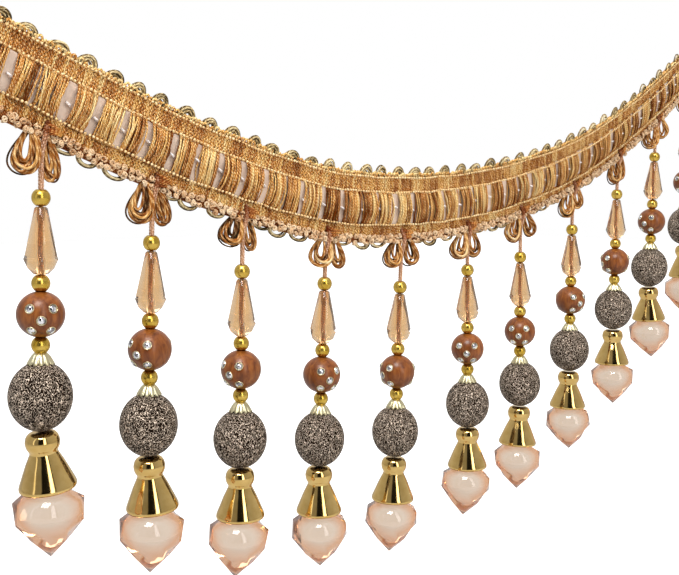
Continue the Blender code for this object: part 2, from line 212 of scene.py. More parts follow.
def joinShells(shells):
    # several shells as one, with their corners renumbered
    parts = {key: [value] for key, value in emptyShell().items()}
    count = 0
    for shell in shells:
        for key in parts:
            value = shell[key]
            parts[key].append(value + count if key in ("quads", "triangles") else value)
        count += len(shell["points"])
    return {key: np.concatenate(values) for key, values in parts.items()}


def moveShell(shell, turn, place):
    # every point turned, then moved
    return {**shell, "points": shell["points"] @ turn.T + place}


def addPiece(name, shell, material, node=None, smooth=True):
    # one mesh object at the origin, riding on the body
    mesh = bpy.data.meshes.new(name)
    points, quads, triangles = shell["points"], shell["quads"], shell["triangles"]
    mesh.vertices.add(len(points))
    mesh.vertices.foreach_set("co", points.astype(np.float32).ravel())
    corners = np.concatenate([quads.ravel(), triangles.ravel()]).astype(np.int32)
    mesh.loops.add(len(corners))
    mesh.loops.foreach_set("vertex_index", corners)
    starts = np.concatenate([np.arange(len(quads)) * 4, len(quads) * 4 + np.arange(len(triangles)) * 3])
    mesh.polygons.add(len(starts))
    mesh.polygons.foreach_set("loop_start", starts.astype(np.int32))
    mesh.update(calc_edges=True)
    layer = mesh.uv_layers.new(name="thread")
    uv = np.concatenate([shell["quadUv"].reshape(-1, 2), shell["triangleUv"].reshape(-1, 2)])
    layer.data.foreach_set("uv", uv.astype(np.float32).ravel())
    dye = mesh.attributes.new("dye", "FLOAT", "POINT")
    dye.data.foreach_set("value", shell["dye"].astype(np.float32))
    mesh.validate()
    if smooth:
        mesh.shade_smooth()
    piece = bpy.data.objects.new(name, mesh)
    bpy.context.collection.objects.link(piece)
    mesh.materials.append(material)
    if node:
        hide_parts(node)
    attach(piece, "root")
    return piece


def unit(vectors):
    return vectors / np.maximum(np.linalg.norm(vectors, axis=-1, keepdims=True), 1e-12)


def threadFrames(paths, level, closed):
    # along, side and top directions at each point of each thread
    if closed:
        along = unit(np.roll(paths, -1, axis=1) - np.roll(paths, 1, axis=1))
    else:
        along = unit(np.gradient(paths, axis=1))
    side = unit(np.cross(along, np.broadcast_to(level, paths.shape)))
    return side, np.cross(side, along)


def fanIndices(sides):
    # triangles that fill a ring of corners
    return np.stack([np.zeros(sides - 2, int), np.arange(1, sides - 1), np.arange(2, sides)], axis=-1)


forwards = (0.0, -1.0, 0.0)
upwards = (0.0, 0.0, 1.0)
twistStart = 5.0    # each thread's twist starts up to this many mm along


def threads(paths, radius, sides, dye, level=forwards, closed=False):
    # round threads along paths (thread, step, xyz): each ring is centre + r(cos a top + sin a side)
    count, steps = paths.shape[:2]
    side, top = threadFrames(paths, level, closed)
    radius = np.broadcast_to(np.asarray(radius, float), (count, steps))
    turn = 2 * math.pi * np.arange(sides) / sides
    rings = paths[:, :, None] + radius[:, :, None, None] * (
        np.cos(turn)[:, None] * top[:, :, None] + np.sin(turn)[:, None] * side[:, :, None])
    index = np.arange(count * steps * sides).reshape(count, steps, sides)
    after = np.roll(index, -1, axis=2)
    last = steps if closed else steps - 1
    low, lowAfter = index[:, :last], after[:, :last]
    high, highAfter = np.roll(index, -1, axis=1)[:, :last], np.roll(after, -1, axis=1)[:, :last]
    quads = np.stack([low, lowAfter, highAfter, high], axis=-1)
    hop = np.linalg.norm(np.roll(paths, -1, axis=1) - paths, axis=2)[:, :last]
    length = np.concatenate([np.zeros((count, 1)), np.cumsum(hop, axis=1)], axis=1) / mm
    length = length + dice.uniform(0, twistStart, (count, 1))
    start = np.broadcast_to(length[:, :last, None], quads.shape[:3])
    stop = np.broadcast_to(length[:, 1:last + 1, None], quads.shape[:3])
    near = np.broadcast_to(np.arange(sides) / sides, quads.shape[:3])
    far = near + 1 / sides
    corners = ((start, near), (start, far), (stop, far), (stop, near))
    shell = emptyShell()
    shell["points"] = rings.reshape(-1, 3)
    shell["quads"] = quads.reshape(-1, 4)
    shell["quadUv"] = np.stack([np.stack(corner, -1) for corner in corners], axis=-2).reshape(-1, 4, 2)
    shell["dye"] = np.repeat(np.broadcast_to(np.asarray(dye, float), (count, steps)).ravel(), sides)
    if not closed:
        fans = fanIndices(sides)
        ends = [index[:, 0][:, fans[:, ::-1]], index[:, -1][:, fans]]
        shell["triangles"] = np.concatenate(ends).reshape(-1, 3)
        shell["triangleUv"] = np.zeros((len(shell["triangles"]), 3, 2))
    return shell


def rope(paths, strandRadius, layRadius, pitch, plies, sides, dye):
    # plies strands that wind round each path: centre + lay(cos p top + sin p side), p = 2 pi length / pitch
    side, top = threadFrames(paths, forwards, False)
    hop = np.linalg.norm(np.diff(paths, axis=1), axis=2)
    length = np.concatenate([np.zeros((len(paths), 1)), np.cumsum(hop, axis=1)], axis=1)
    strands = []
    for ply in range(plies):
        phase = 2 * math.pi * (length / pitch + ply / plies)[..., None]
        strands.append(paths + layRadius * (np.cos(phase) * top + np.sin(phase) * side))
    shade = np.broadcast_to(np.asarray(dye, float), paths.shape[:2])
    return threads(np.concatenate(strands), strandRadius, sides, np.tile(shade, (plies, 1)))


def smoothPath(corners, steps):
    # each path through its corners (path, corner, xyz), resampled evenly and rounded by averaging
    share = np.linspace(0, corners.shape[1] - 1, steps)
    first = np.minimum(share.astype(int), corners.shape[1] - 2)
    part = (share - first)[None, :, None]
    paths = corners[:, first] * (1 - part) + corners[:, first + 1] * part
    for _ in range(steps // 3):
        paths[:, 1:-1] = (paths[:, :-2] + 2 * paths[:, 1:-1] + paths[:, 2:]) / 4
    return paths


def ringGrid(rings, closedAcross, capped):
    # rings (ring, side, xyz) skinned with quads; ends capped with fans, or joined round for a bore
    count, sides = rings.shape[:2]
    index = np.arange(count * sides).reshape(count, sides)
    after = np.roll(index, -1, axis=1)
    last = count if closedAcross else count - 1
    quads = np.stack([
        index[:last], np.roll(index, -1, 0)[:last], np.roll(after, -1, 0)[:last], after[:last]], axis=-1)
    shell = emptyShell()
    shell["points"] = rings.reshape(-1, 3)
    shell["quads"] = quads.reshape(-1, 4)
    row, column = np.indices(quads.shape[:2])
    spot = np.stack([column / sides, row / count], axis=-1)
    shell["quadUv"] = np.repeat(spot.reshape(-1, 1, 2), 4, axis=1)
    shell["dye"] = np.full(count * sides, 0.5)
    if capped:
        fans = fanIndices(sides)
        shell["triangles"] = np.concatenate([index[0][fans], index[-1][fans[:, ::-1]]])
        shell["triangleUv"] = np.zeros((len(shell["triangles"]), 3, 2))
    return shell


def turnedShell(radii, heights, sides, bored=True):
    # a profile (radius, height) from top to bottom, turned about Z
    turn = 2 * math.pi * np.arange(sides) / sides
    rings = np.stack([
        np.outer(radii, np.cos(turn)), np.outer(radii, np.sin(turn)),
        np.broadcast_to(np.asarray(heights)[:, None], (len(radii), sides))], axis=-1)
    return ringGrid(rings, bored, not bored)


def smoothProfile(corners, steps):
    # a profile through corners, rounded by averaging each point with its neighbours
    corners = np.array(corners, float) * mm
    hops = np.concatenate([[0], np.cumsum(np.linalg.norm(np.diff(corners, axis=0), axis=1))])
    walk = np.linspace(0, hops[-1], steps)
    line = np.stack([np.interp(walk, hops, corners[:, axis]) for axis in (0, 1)], axis=1)
    line[1:-1] = (line[:-2] + 2 * line[1:-1] + line[2:]) / 4
    return line[:, 0], line[:, 1]


# The swag

band = {
    "pitch": 26.6 * mm,
    "dropsLeft": 4,
    "drops": 11,
    "bundlesPerDrop": 4,
    "bundleGap": 2.2 * mm,
    "topEdge": 9.6 * mm,
    "upperFoot": 4.6 * mm,
    "lowerHead": -3.8 * mm,
    "lowerFoot": -6.9 * mm,
    "bottomEdge": -9.3 * mm,
    "hangPlane": 1.0 * mm,
}

swagRows = (
    # slope, forward lean of the top edge, in degrees, for each middle between two drops
    (-22.2, 0.0), (-22.3, 0.0), (-16.9, 0.0), (-12.6, 0.0), (-2.5, 0.0), (3.0, 0.0),
    (10.2, 6.0), (16.1, 12.0), (22.6, 16.0), (27.6, 17.0), (30.4, 17.0), (38.0, 15.0),
)

dropRows = (
    # shift along the band mm, cord mm, leans of the string, bell and crystal, turn, stone heading, in degrees
    (1.0, 11.6, -2.1, 5.4, 0.4, 0.0, -113.0),
    (1.5, 11.6, -2.4, 3.6, -3.9, 33.0, -158.1),
    (0.0, 11.9, -1.6, -0.1, -7.0, 71.0, -162.4),
    (-0.5, 10.9, -2.6, -0.1, 1.4, 12.0, -104.2),
    (-0.2, 12.3, -2.3, -2.8, -4.8, 95.0, -193.6),
    (0.5, 10.8, 1.2, 0.7, -6.5, 48.0, -142.3),
    (-1.0, 12.7, 1.4, -3.6, -0.1, 20.0, -147.4),
    (0.9, 13.0, 0.3, -1.7, 5.5, 84.0, -103.2),
    (2.8, 12.8, 0.0, -0.5, 6.0, 57.0, -212.6),
    (4.2, 12.4, -1.6, 3.9, 11.0, 5.0, -181.6),
    (4.0, 12.2, 1.2, 3.2, 3.2, 40.0, -171.2),
)

swagStart = -(band["dropsLeft"] + 0.5) * band["pitch"]
bundlePitch = band["pitch"] / band["bundlesPerDrop"]
bundleCount = band["drops"] * band["bundlesPerDrop"] + 1
leftEnd = swagStart - bundlePitch / 2
rightEnd = leftEnd + bundleCount * bundlePitch


def swagColumn(column, lengths):
    # smooth value between the rows (Catmull-Rom)
    values = np.array([row[column] for row in swagRows])
    padded = np.concatenate([values[:1], values, values[-1:]])
    place = np.clip((lengths - swagStart) / band["pitch"], 0, len(values) - 1)
    first = np.minimum(place.astype(int), len(values) - 2)
    part = place - first
    before, start, end, after = (padded[first + step] for step in range(4))
    return start + 0.5 * part * (
        end - before
        + part * (2 * before - 5 * start + 4 * end - after + part * (3 * (start - end) + after - before)))


trace = np.linspace(leftEnd, rightEnd, 1201)
traceSlope = np.radians(swagColumn(0, trace))


def runningSum(rates):
    # trapezium sum along the trace, zero at the low point
    total = np.concatenate([[0.0], np.cumsum((rates[1:] + rates[:-1]) / 2) * (trace[1] - trace[0])])
    return total - np.interp(0.0, trace, total)


traceX = runningSum(np.cos(traceSlope))
traceZ = runningSum(np.sin(traceSlope))


def rawBandPoints(lengths, heights, fronts):
    # centre(length) + up height + front x distance; the band leans forward about its bottom edge
    lengths, heights, fronts = np.broadcast_arrays(
        np.asarray(lengths, float), np.asarray(heights, float), np.asarray(fronts, float))
    lengths = np.clip(lengths, leftEnd, rightEnd)
    slope = np.radians(swagColumn(0, lengths))
    lean = np.radians(np.maximum(swagColumn(1, lengths), 0.0))
    zero = np.zeros_like(slope)
    along = np.stack([np.cos(slope), zero, np.sin(slope)], axis=-1)
    levelUp = np.stack([-np.sin(slope), zero, np.cos(slope)], axis=-1)
    up = np.stack([-np.sin(slope) * np.cos(lean), -np.sin(lean), np.cos(slope) * np.cos(lean)], axis=-1)
    centre = np.stack([np.interp(lengths, trace, traceX), zero, np.interp(lengths, trace, traceZ)], axis=-1)
    return (
        centre + levelUp * band["bottomEdge"]
        + up * (heights - band["bottomEdge"])[..., None]
        + np.cross(along, up) * fronts[..., None])


bandOrigin = rawBandPoints(0.0, band["topEdge"], 0.0)


def bandPoints(lengths, heights, fronts):
    # a length along the band, a height up it and a distance in front of its back
    return rawBandPoints(lengths, heights, fronts) - bandOrigin


def slopeAt(length):
    return math.radians(float(swagColumn(0, np.array(length))))


def downwards(degrees):
    lean = math.radians(degrees)
    return np.array([math.sin(lean), 0.0, -math.cos(lean)])


def leanAndTurn(lean, turn):
    # a turn about the piece's own axis, then a lean towards +X
    tip, spin = math.radians(lean), math.radians(turn)
    tipping = np.array([[math.cos(tip), 0, -math.sin(tip)], [0, 1, 0], [math.sin(tip), 0, math.cos(tip)]])
    turning = np.array([[math.cos(spin), -math.sin(spin), 0], [math.sin(spin), math.cos(spin), 0], [0, 0, 1]])
    return tipping @ turning


pivotDepths = {
    "bell": 47.3 * mm,
    "crystal": 60.2 * mm,
}


def dropPlaces():
    # where each drop's string, bell and crystal are, as (turn, place) of their own frames
    places = []
    for number, (shift, cord, lean, bellLean, crystalLean, turn, stoneHeading) in enumerate(dropRows):
        pitchPlace = (number - band["dropsLeft"]) * band["pitch"]
        length = pitchPlace + shift * mm
        edge = bandPoints(length, band["bottomEdge"], 0.0)
        root = edge - np.array([0.0, band["hangPlane"], 0.0])
        bead = root + cord * mm * downwards(lean)
        bellPivot = bead + pivotDepths["bell"] * downwards(lean)
        bellTop = bellPivot - pivotDepths["bell"] * downwards(bellLean)
        crystalPivot = bellPivot + (pivotDepths["crystal"] - pivotDepths["bell"]) * downwards(bellLean)
        crystalTop = crystalPivot - pivotDepths["crystal"] * downwards(crystalLean)
        places.append({
            "name": f"{number + 1:02d}",
            "length": length,
            "pitchPlace": pitchPlace,
            "root": root,
            "cord": cord * mm,
            "down": downwards(lean),
            "bead": bead,
            "string": (leanAndTurn(lean, turn), bead),
            "stones": (leanAndTurn(lean, stoneHeading), bead),
            "bell": (leanAndTurn(bellLean, turn), bellTop),
            "crystal": (leanAndTurn(crystalLean, turn), crystalTop),
        })
    return places


drops = dropPlaces()
print("swag and drops placed")


# Shader groups

def newGroup(name, inputs, outputs):
    # a group with number inputs (name, value) and number outputs (name)
    group = bpy.data.node_groups.new(name, "ShaderNodeTree")
    for label, value in inputs:
        socket = group.interface.new_socket(label, in_out="INPUT", socket_type="NodeSocketFloat")
        socket.default_value = value
    for label in outputs:
        group.interface.new_socket(label, in_out="OUTPUT", socket_type="NodeSocketFloat")
    return group, group.nodes.new("NodeGroupInput"), group.nodes.new("NodeGroupOutput")


twistShape = {
    "fibres": 10,            # fibres across a ply
    "fibreHeight": 0.3,
    "roundness": 0.6,        # powers of the wave: under one broad, over one narrow
    "grooveWidth": 0.5,
    "crestWidth": 5.0,
}


def makeTwistGroup():
    # plies that wind along a thread: height = |sin(pi (plies v + turns u))| to a power, with fine fibres
    group, start, end = newGroup(
        "threadTwist",
        (("Plies", 2.0), ("Turns per mm", 1.0), ("Fibre", 0.25)),
        ("Height", "Groove", "Crest"))
    split = splitPlace(group, "UVMap", "UV", uv_map="thread")
    around = calculate(group, "MULTIPLY", (split, "Y"), (start, "Plies"))
    phase = calculate(group, "MULTIPLY_ADD", (split, "X"), (start, "Turns per mm"), around)
    wave = calculate(group, "SINE", calculate(group, "MULTIPLY", phase, math.pi))
    wave = calculate(group, "ABSOLUTE", wave)
    fine = calculate(group, "SINE", calculate(group, "MULTIPLY", phase, twistShape["fibres"] * math.pi))
    fibre = calculate(
        group, "MULTIPLY", calculate(group, "MULTIPLY", fine, twistShape["fibreHeight"]), (start, "Fibre"))
    height = calculate(group, "ADD", calculate(group, "POWER", wave, twistShape["roundness"]), fibre)
    # Groove is the mask for the painted shade in the grooves, Crest the mask for the painted highlight
    hollow = calculate(group, "POWER", wave, twistShape["grooveWidth"])
    groove = calculate(group, "SUBTRACT", 1.0, hollow, clamp=True)
    crest = calculate(group, "POWER", wave, twistShape["crestWidth"])
    for value, label in ((height, "Height"), (groove, "Groove"), (crest, "Crest")):
        feed(group, end, label, value)
    return group


def makeFinishGroup():
    # slow and fast noise on Object coordinates, for wear, dust and uneven dye; its fine noise also places the
    # yarn's painted glints
    group, start, end = newGroup("finishNoise", (("Scale", 300.0), ("Contrast", 1.0)), ("Value", "Fine"))
    place = addNode(group, "TexCoord")
    slow, fast = addNode(group, "TexNoise"), addNode(group, "TexNoise")
    for noise, detail, scale in ((slow, 3.0, 1.0), (fast, 2.0, 9.0)):
        noise.inputs["Detail"].default_value = detail
        join(group, place, "Object", noise, "Vector")
        size = calculate(group, "MULTIPLY", (start, "Scale"), scale)
        feed(group, noise, "Scale", size)
    centred = calculate(group, "SUBTRACT", (slow, 0), 0.5)
    value = calculate(group, "MULTIPLY_ADD", centred, (start, "Contrast"), 0.5, clamp=True)
    feed(group, end, "Value", value)
    join(group, fast, 0, end, "Fine")
    return group


twistGroup = makeTwistGroup()
finishGroup = makeFinishGroup()


def placeGroup(tree, group, **values):
    node = addNode(tree, "Group")
    node.node_tree = group
    for label, value in values.items():
        node.inputs[label.replace("_", " ")].default_value = value
    return node


def newMaterial(name, **sockets):
    material = bpy.data.materials.new(name)
    material.use_nodes = True
    shader = material.node_tree.nodes["Principled BSDF"]
    for label, value in sockets.items():
        shader.inputs[label.replace("_", " ")].default_value = value
    return material, material.node_tree, shader


def addBump(tree, shader, height, strength, distance):
    bump = addNode(tree, "Bump")
    bump.inputs["Strength"].default_value = strength
    bump.inputs["Distance"].default_value = distance
    feed(tree, bump, "Height", height)
    join(tree, bump, "Normal", shader, "Normal")


yarnLook = {
    "roughness": 0.42,
    "specular": 0.08,
    "tint": (1.0, 0.72, 0.38, 1.0),
    "speckScale": 520.0,
    "speckContrast": 1.6,
    "uneven": 0.44,          # how far the noise moves the dye
    "fibre": 0.4,
    "paintedGlint": (4.0, -1.4),    # gain and start of the painted glint highlight over the fine noise
    "paleness": (1.7, -0.22),    # and over the dye: dark yarns get less painted highlight
    "bump": (0.8, 0.10 * mm),
}


def yarnMaterial(
        name, stops, shadow, paintedGleam=(1.0, 0.80, 0.44), plies=2.0, turns=1.25, groove=0.6, lustre=0.35):
    # space-dyed lustrous yarn: colour from the dye attribute, with painted shade in the twist grooves and a
    # painted highlight on the crests
    material, tree, shader = newMaterial(
        name, Roughness=yarnLook["roughness"], Metallic=lustre,
        Specular_IOR_Level=yarnLook["specular"], Specular_Tint=yarnLook["tint"])
    dye = addNode(tree, "Attribute", attribute_name="dye")
    speck = placeGroup(tree, finishGroup, Scale=yarnLook["speckScale"], Contrast=yarnLook["speckContrast"])
    place = calculate(tree, "MULTIPLY_ADD", (speck, "Value"), yarnLook["uneven"], (dye, "Fac"))
    colour = ramp(tree, calculate(tree, "SUBTRACT", place, yarnLook["uneven"] / 2, clamp=True), stops)
    twist = placeGroup(tree, twistGroup, Plies=plies, Turns_per_mm=turns, Fibre=yarnLook["fibre"])
    # painted shade: the colour pulled towards the shadow colour in the twist grooves
    shaded = mixColour(tree, calculate(tree, "MULTIPLY", (twist, "Groove"), groove), colour, shadow)
    # painted highlight: pale flecks on the crests where the fine noise and the dye allow
    paintedGlint = calculate(tree, "MULTIPLY_ADD", (speck, "Fine"), *yarnLook["paintedGlint"], clamp=True)
    paleness = calculate(tree, "MULTIPLY_ADD", place, *yarnLook["paleness"], clamp=True)
    bright = calculate(tree, "MULTIPLY", calculate(tree, "MULTIPLY", (twist, "Crest"), paintedGlint), paleness)
    feed(tree, shader, "Base Color", mixColour(tree, bright, shaded, paintedGleam))
    addBump(tree, shader, (twist, "Height"), *yarnLook["bump"])
    return material


tanStops = (
    (0.00, (0.170, 0.036, 0.003)),
    (0.20, (0.330, 0.088, 0.008)),
    (0.42, (0.550, 0.188, 0.022)),
    (0.62, (0.710, 0.325, 0.062)),
    (0.80, (0.840, 0.480, 0.135)),
    (1.00, (0.920, 0.680, 0.310)),
)
pinkStops = (
    (0.00, (0.260, 0.090, 0.025)),
    (0.35, (0.560, 0.260, 0.095)),
    (0.70, (0.860, 0.520, 0.260)),
    (1.00, (0.980, 0.740, 0.480)),
)
oliveStops = (
    (0.00, (0.022, 0.012, 0.004)),
    (0.30, (0.100, 0.055, 0.016)),
    (0.60, (0.340, 0.215, 0.075)),
    (1.00, (0.840, 0.690, 0.400)),
)
rustStops = (
    (0.00, (0.130, 0.018, 0.004)),
    (0.40, (0.330, 0.075, 0.012)),
    (0.75, (0.620, 0.240, 0.045)),
    (1.00, (0.820, 0.480, 0.130)),
)
bowStops = (
    (0.00, (0.030, 0.012, 0.004)),
    (0.20, (0.150, 0.040, 0.008)),
    (0.45, (0.350, 0.115, 0.020)),
    (0.70, (0.600, 0.300, 0.085)),
    (1.00, (0.900, 0.720, 0.420)),
)
creamStops = (
    (0.00, (0.680, 0.400, 0.150)),
    (0.50, (0.860, 0.600, 0.290)),
    (1.00, (0.950, 0.800, 0.500)),
)
cordStops = (
    (0.00, (0.180, 0.045, 0.010)),
    (0.30, (0.430, 0.180, 0.080)),
    (0.65, (0.620, 0.320, 0.170)),
    (1.00, (0.820, 0.520, 0.330)),
)
whiteStops = (
    (0.00, (0.820, 0.700, 0.640)),
    (1.00, (0.960, 0.900, 0.860)),
)
grooveShadeBrown = (0.070, 0.018, 0.003)

# each yarn: dye stops, the painted shade colour for the grooves, then the painted highlight colour where one
# is given
yarns = {
    "braid": yarnMaterial("braidYarn", tanStops, grooveShadeBrown),
    "ground": yarnMaterial(
        "groundYarn", tanStops, grooveShadeBrown, plies=0.35, turns=2.2, groove=0.85, lustre=0.1),
    "stitch": yarnMaterial("stitchThread", creamStops, (0.30, 0.13, 0.04), groove=0.4),
    "picot": yarnMaterial(
        "picotThread", oliveStops, (0.020, 0.012, 0.005), (0.80, 0.66, 0.38),
        turns=0.8, groove=0.3, lustre=0.15),
    "edging": yarnMaterial(
        "edgingYarn", pinkStops, (0.16, 0.055, 0.016), (1.0, 0.84, 0.60),
        plies=4.0, turns=0.9, groove=0.7, lustre=0.15),
    "rust": yarnMaterial("rustYarn", rustStops, (0.050, 0.010, 0.003), (0.90, 0.55, 0.20)),
    "bow": yarnMaterial(
        "bowYarn", bowStops, (0.045, 0.014, 0.004), (0.85, 0.58, 0.28), turns=0.45, groove=0.35, lustre=0.3),
    "cord": yarnMaterial("cordYarn", cordStops, (0.14, 0.045, 0.02), (0.90, 0.68, 0.52), turns=1.6),
    "white": yarnMaterial("whiteThread", whiteStops, (0.50, 0.38, 0.33), (1.0, 0.96, 0.93), groove=0.3),
}
print("yarn materials made")


# Woven heading

noiseTable = 4096      # random values before the noise repeats
noiseShift = 1000.0    # keeps the places positive


def smoothNoise(positions, seed, spacing):
    # value noise along a line: cosine blend between random values at whole spacings
    values = np.random.default_rng(seed).random(noiseTable)
    place = np.asarray(positions, float) / spacing + noiseShift
    first = np.floor(place).astype(int)
    part = (1 - np.cos(math.pi * (place - first))) / 2
    return values[first % noiseTable] * (1 - part) + values[(first + 1) % noiseTable] * part


weft = {
    "dye": 0.52,
    "slow": 11.0,       # passes from one shade to the next
    "fast": 1.9,
    "fastDrift": 0.55,
}


def weftDye(order, share, seed, jitter, drift=0.5):
    # the dye of a yarn that runs to and fro: order is the pass number, share how far along the pass
    passes = order + np.where(order % 2 == 0, share, 1 - share)
    slow = smoothNoise(passes, seed, weft["slow"]) - 0.5
    fast = smoothNoise(passes, seed + 1, weft["fast"]) - 0.5
    own = dice.normal(0, jitter, (len(order), 1))
    return np.clip(weft["dye"] + drift * slow + weft["fastDrift"] * fast + own, 0.0, 1.0)


def randomDye(middle, jitter, count):
    # one dye for each of a number of threads
    return np.clip(dice.normal(middle, jitter, (count, 1)), 0, 1)


def layFlat(shell, lengths, heights):
    # corners marked with their place on the flat band, in mm along and up
    spots = np.stack(np.meshgrid(lengths, heights, indexing="ij"), axis=-1).reshape(-1, 2) / mm
    shell["quadUv"] = spots[shell["quads"]]
    return shell


def bandSlab(section, steps, dye):
    # a closed section (height, front) in mm carried along the band
    lengths = np.linspace(leftEnd, rightEnd, steps)
    heights, fronts = np.array(section).T * mm
    shell = ringGrid(bandPoints(lengths[:, None], heights[None, :], fronts[None, :]), False, True)
    shell["dye"] = np.repeat(dye(lengths), len(section))
    return layFlat(shell, lengths, heights)


ground = {
    "back": 0.05,
    "front": 0.75,
    "steps": 400,
    "strips": ((9.6, 4.6), (-3.8, -6.9)),   # top and bottom, mm
    "dye": (0.25, 0.4),                     # lowest, range
    "patch": 4 * mm,
    "seed": 3,
}


def groundDye(lengths):
    lowest, drift = ground["dye"]
    return lowest + drift * smoothNoise(lengths, ground["seed"], ground["patch"])


def makeGround():
    # two flat slabs, one behind each woven strip
    back, front = ground["back"], ground["front"]
    shells = [
        bandSlab(((top, back), (bottom, back), (bottom, front), (top, front)), ground["steps"], groundDye)
        for top, bottom in ground["strips"]]
    return addPiece("wovenGround", joinShells(shells), yarns["ground"], "heading", smooth=False)


strips = {
    "rows": ((9.3, 4.9, 9, 11), (-4.1, -7.0, 7, 13)),     # top and bottom mm, steps, dye seed
    "yarnPitch": 0.45 * mm,
    "lowRadius": 0.22 * mm,
    "highRadius": 0.29 * mm,
    "lift": 0.85 * mm,
    "knuckle": 0.13 * mm,
    "crest": (0.8, 0.1, 0.22),      # share, middle and jitter of a rise
    "zigzag": 0.12 * mm,
    "wander": 0.09 * mm,
    "uneven": 0.06 * mm,
    "dyeJitter": 0.16,
    "dyeDrift": 0.3,
    "crestPaintedLight": 0.10,
    "darkest": 0.22,
}


def makeStripFloats():
    # upright yarns that rise and dip in turn, neighbours in opposite step: front = lift +- knuckle
    count = int((rightEnd - leftEnd) / strips["yarnPitch"])
    order = np.arange(count)[:, None]
    starts = leftEnd + (order + 0.5) * strips["yarnPitch"]
    rise, middle, jitter = strips["crest"]
    shells = []
    for top, bottom, steps, seed in strips["rows"]:
        t = np.linspace(0, 1, steps)
        crest = (order + np.arange(steps)) % 2
        crest = np.clip(crest * rise + dice.normal(middle, jitter, crest.shape), 0, 1)
        swing = 2 * crest - 1
        lengths = starts + dice.normal(0, strips["wander"], (count, steps)) + strips["zigzag"] * swing
        heights = (top + (bottom - top) * t) * mm + dice.normal(0, strips["uneven"], (count, steps))
        fronts = strips["lift"] + strips["knuckle"] * swing + dice.normal(0, strips["uneven"], (count, steps))
        radius = strips["lowRadius"] + (strips["highRadius"] - strips["lowRadius"]) * crest
        dye = weftDye(order, t, seed, strips["dyeJitter"], strips["dyeDrift"])
        # raised parts of each float paler and dips darker: painted light and shade on the knuckles
        dye = np.clip(dye + strips["crestPaintedLight"] * (crest - 0.5), strips["darkest"], 1.0)
        shells.append(threads(bandPoints(lengths, heights, fronts), radius, 5, dye))
    return addPiece("stripFloats", joinShells(shells), yarns["braid"])


edgeLoops = {
    "spacing": 1.05 * mm,
    "half": 0.50 * mm,
    "rise": 0.70 * mm,
    "foot": 9.25 * mm,
    "front": 0.80 * mm,
    "belly": 0.35 * mm,
    "sizes": (0.6, 1.3),
    "wander": 0.18 * mm,
    "unevenFoot": 0.10 * mm,
    "unevenFront": 0.15 * mm,
    "dye": (0.80, 0.15),     # middle, jitter
    "yarn": 0.31 * mm,
    "overrun": 0.05,
    "steps": 7,
}


def archSweep(overrun, steps):
    # angles of an arch, run on past each foot by a share of a half turn
    return np.linspace(-overrun, 1 + overrun, steps) * math.pi


def makeEdgeLoops():
    # small turns of weft along the top edge: along = -half cos a, rise = sin a
    a = archSweep(edgeLoops["overrun"], edgeLoops["steps"])
    spots = np.arange(leftEnd + edgeLoops["spacing"], rightEnd, edgeLoops["spacing"])
    count = len(spots)
    size = dice.uniform(*edgeLoops["sizes"], (count, 1))
    middles = (spots + dice.normal(0, edgeLoops["wander"], count))[:, None]
    lengths = middles - edgeLoops["half"] * size * np.cos(a)
    feet = edgeLoops["foot"] + dice.normal(0, edgeLoops["unevenFoot"], (count, 1))
    heights = feet + edgeLoops["rise"] * size * np.sin(a)
    fronts = edgeLoops["front"] + dice.normal(0, edgeLoops["unevenFront"], (count, 1))
    fronts = fronts + edgeLoops["belly"] * np.sin(a)
    dye = randomDye(*edgeLoops["dye"], count)
    shell = threads(bandPoints(lengths, heights, fronts), edgeLoops["yarn"], 5, dye)
    return addPiece("edgeLoops", shell, yarns["braid"])


bundles = {
    "layers": ((14, 1.00, 0.85, 21), (17, 1.30, 1.30, 23)),  # yarns, lift mm, bow mm, dye seed
    "steps": 11,
    "radius": 0.20 * mm,
    "radii": (0.85, 1.15),
    "top": 5.1 * mm,
    "bottom": -4.3 * mm,
    "widths": (0.85, 1.25),
    "wander": 0.35 * mm,         # of a whole bundle
    "openRight": 1.1 * mm,       # narrower bundles towards the right end
    "steadyRight": 0.5,
    "flatRight": 0.45,
    "drift": 0.30 * mm,          # of a bundle's middle
    "yarnDrift": 0.28 * mm,      # of a yarn's middle
    "waist": 0.10,
    "crossing": (0.45, 0.8 * mm),   # share of yarns that cross, how far
    "kink": 0.06 * mm,
    "crown": 0.30,
    "sink": 0.25,
    "slack": 0.32,
    "roundness": 0.75,
    "dyeJitter": 0.22,
    "paler": 0.06,
    "darkerDown": 0.16,
    "shadeAtEnds": 0.10,
}


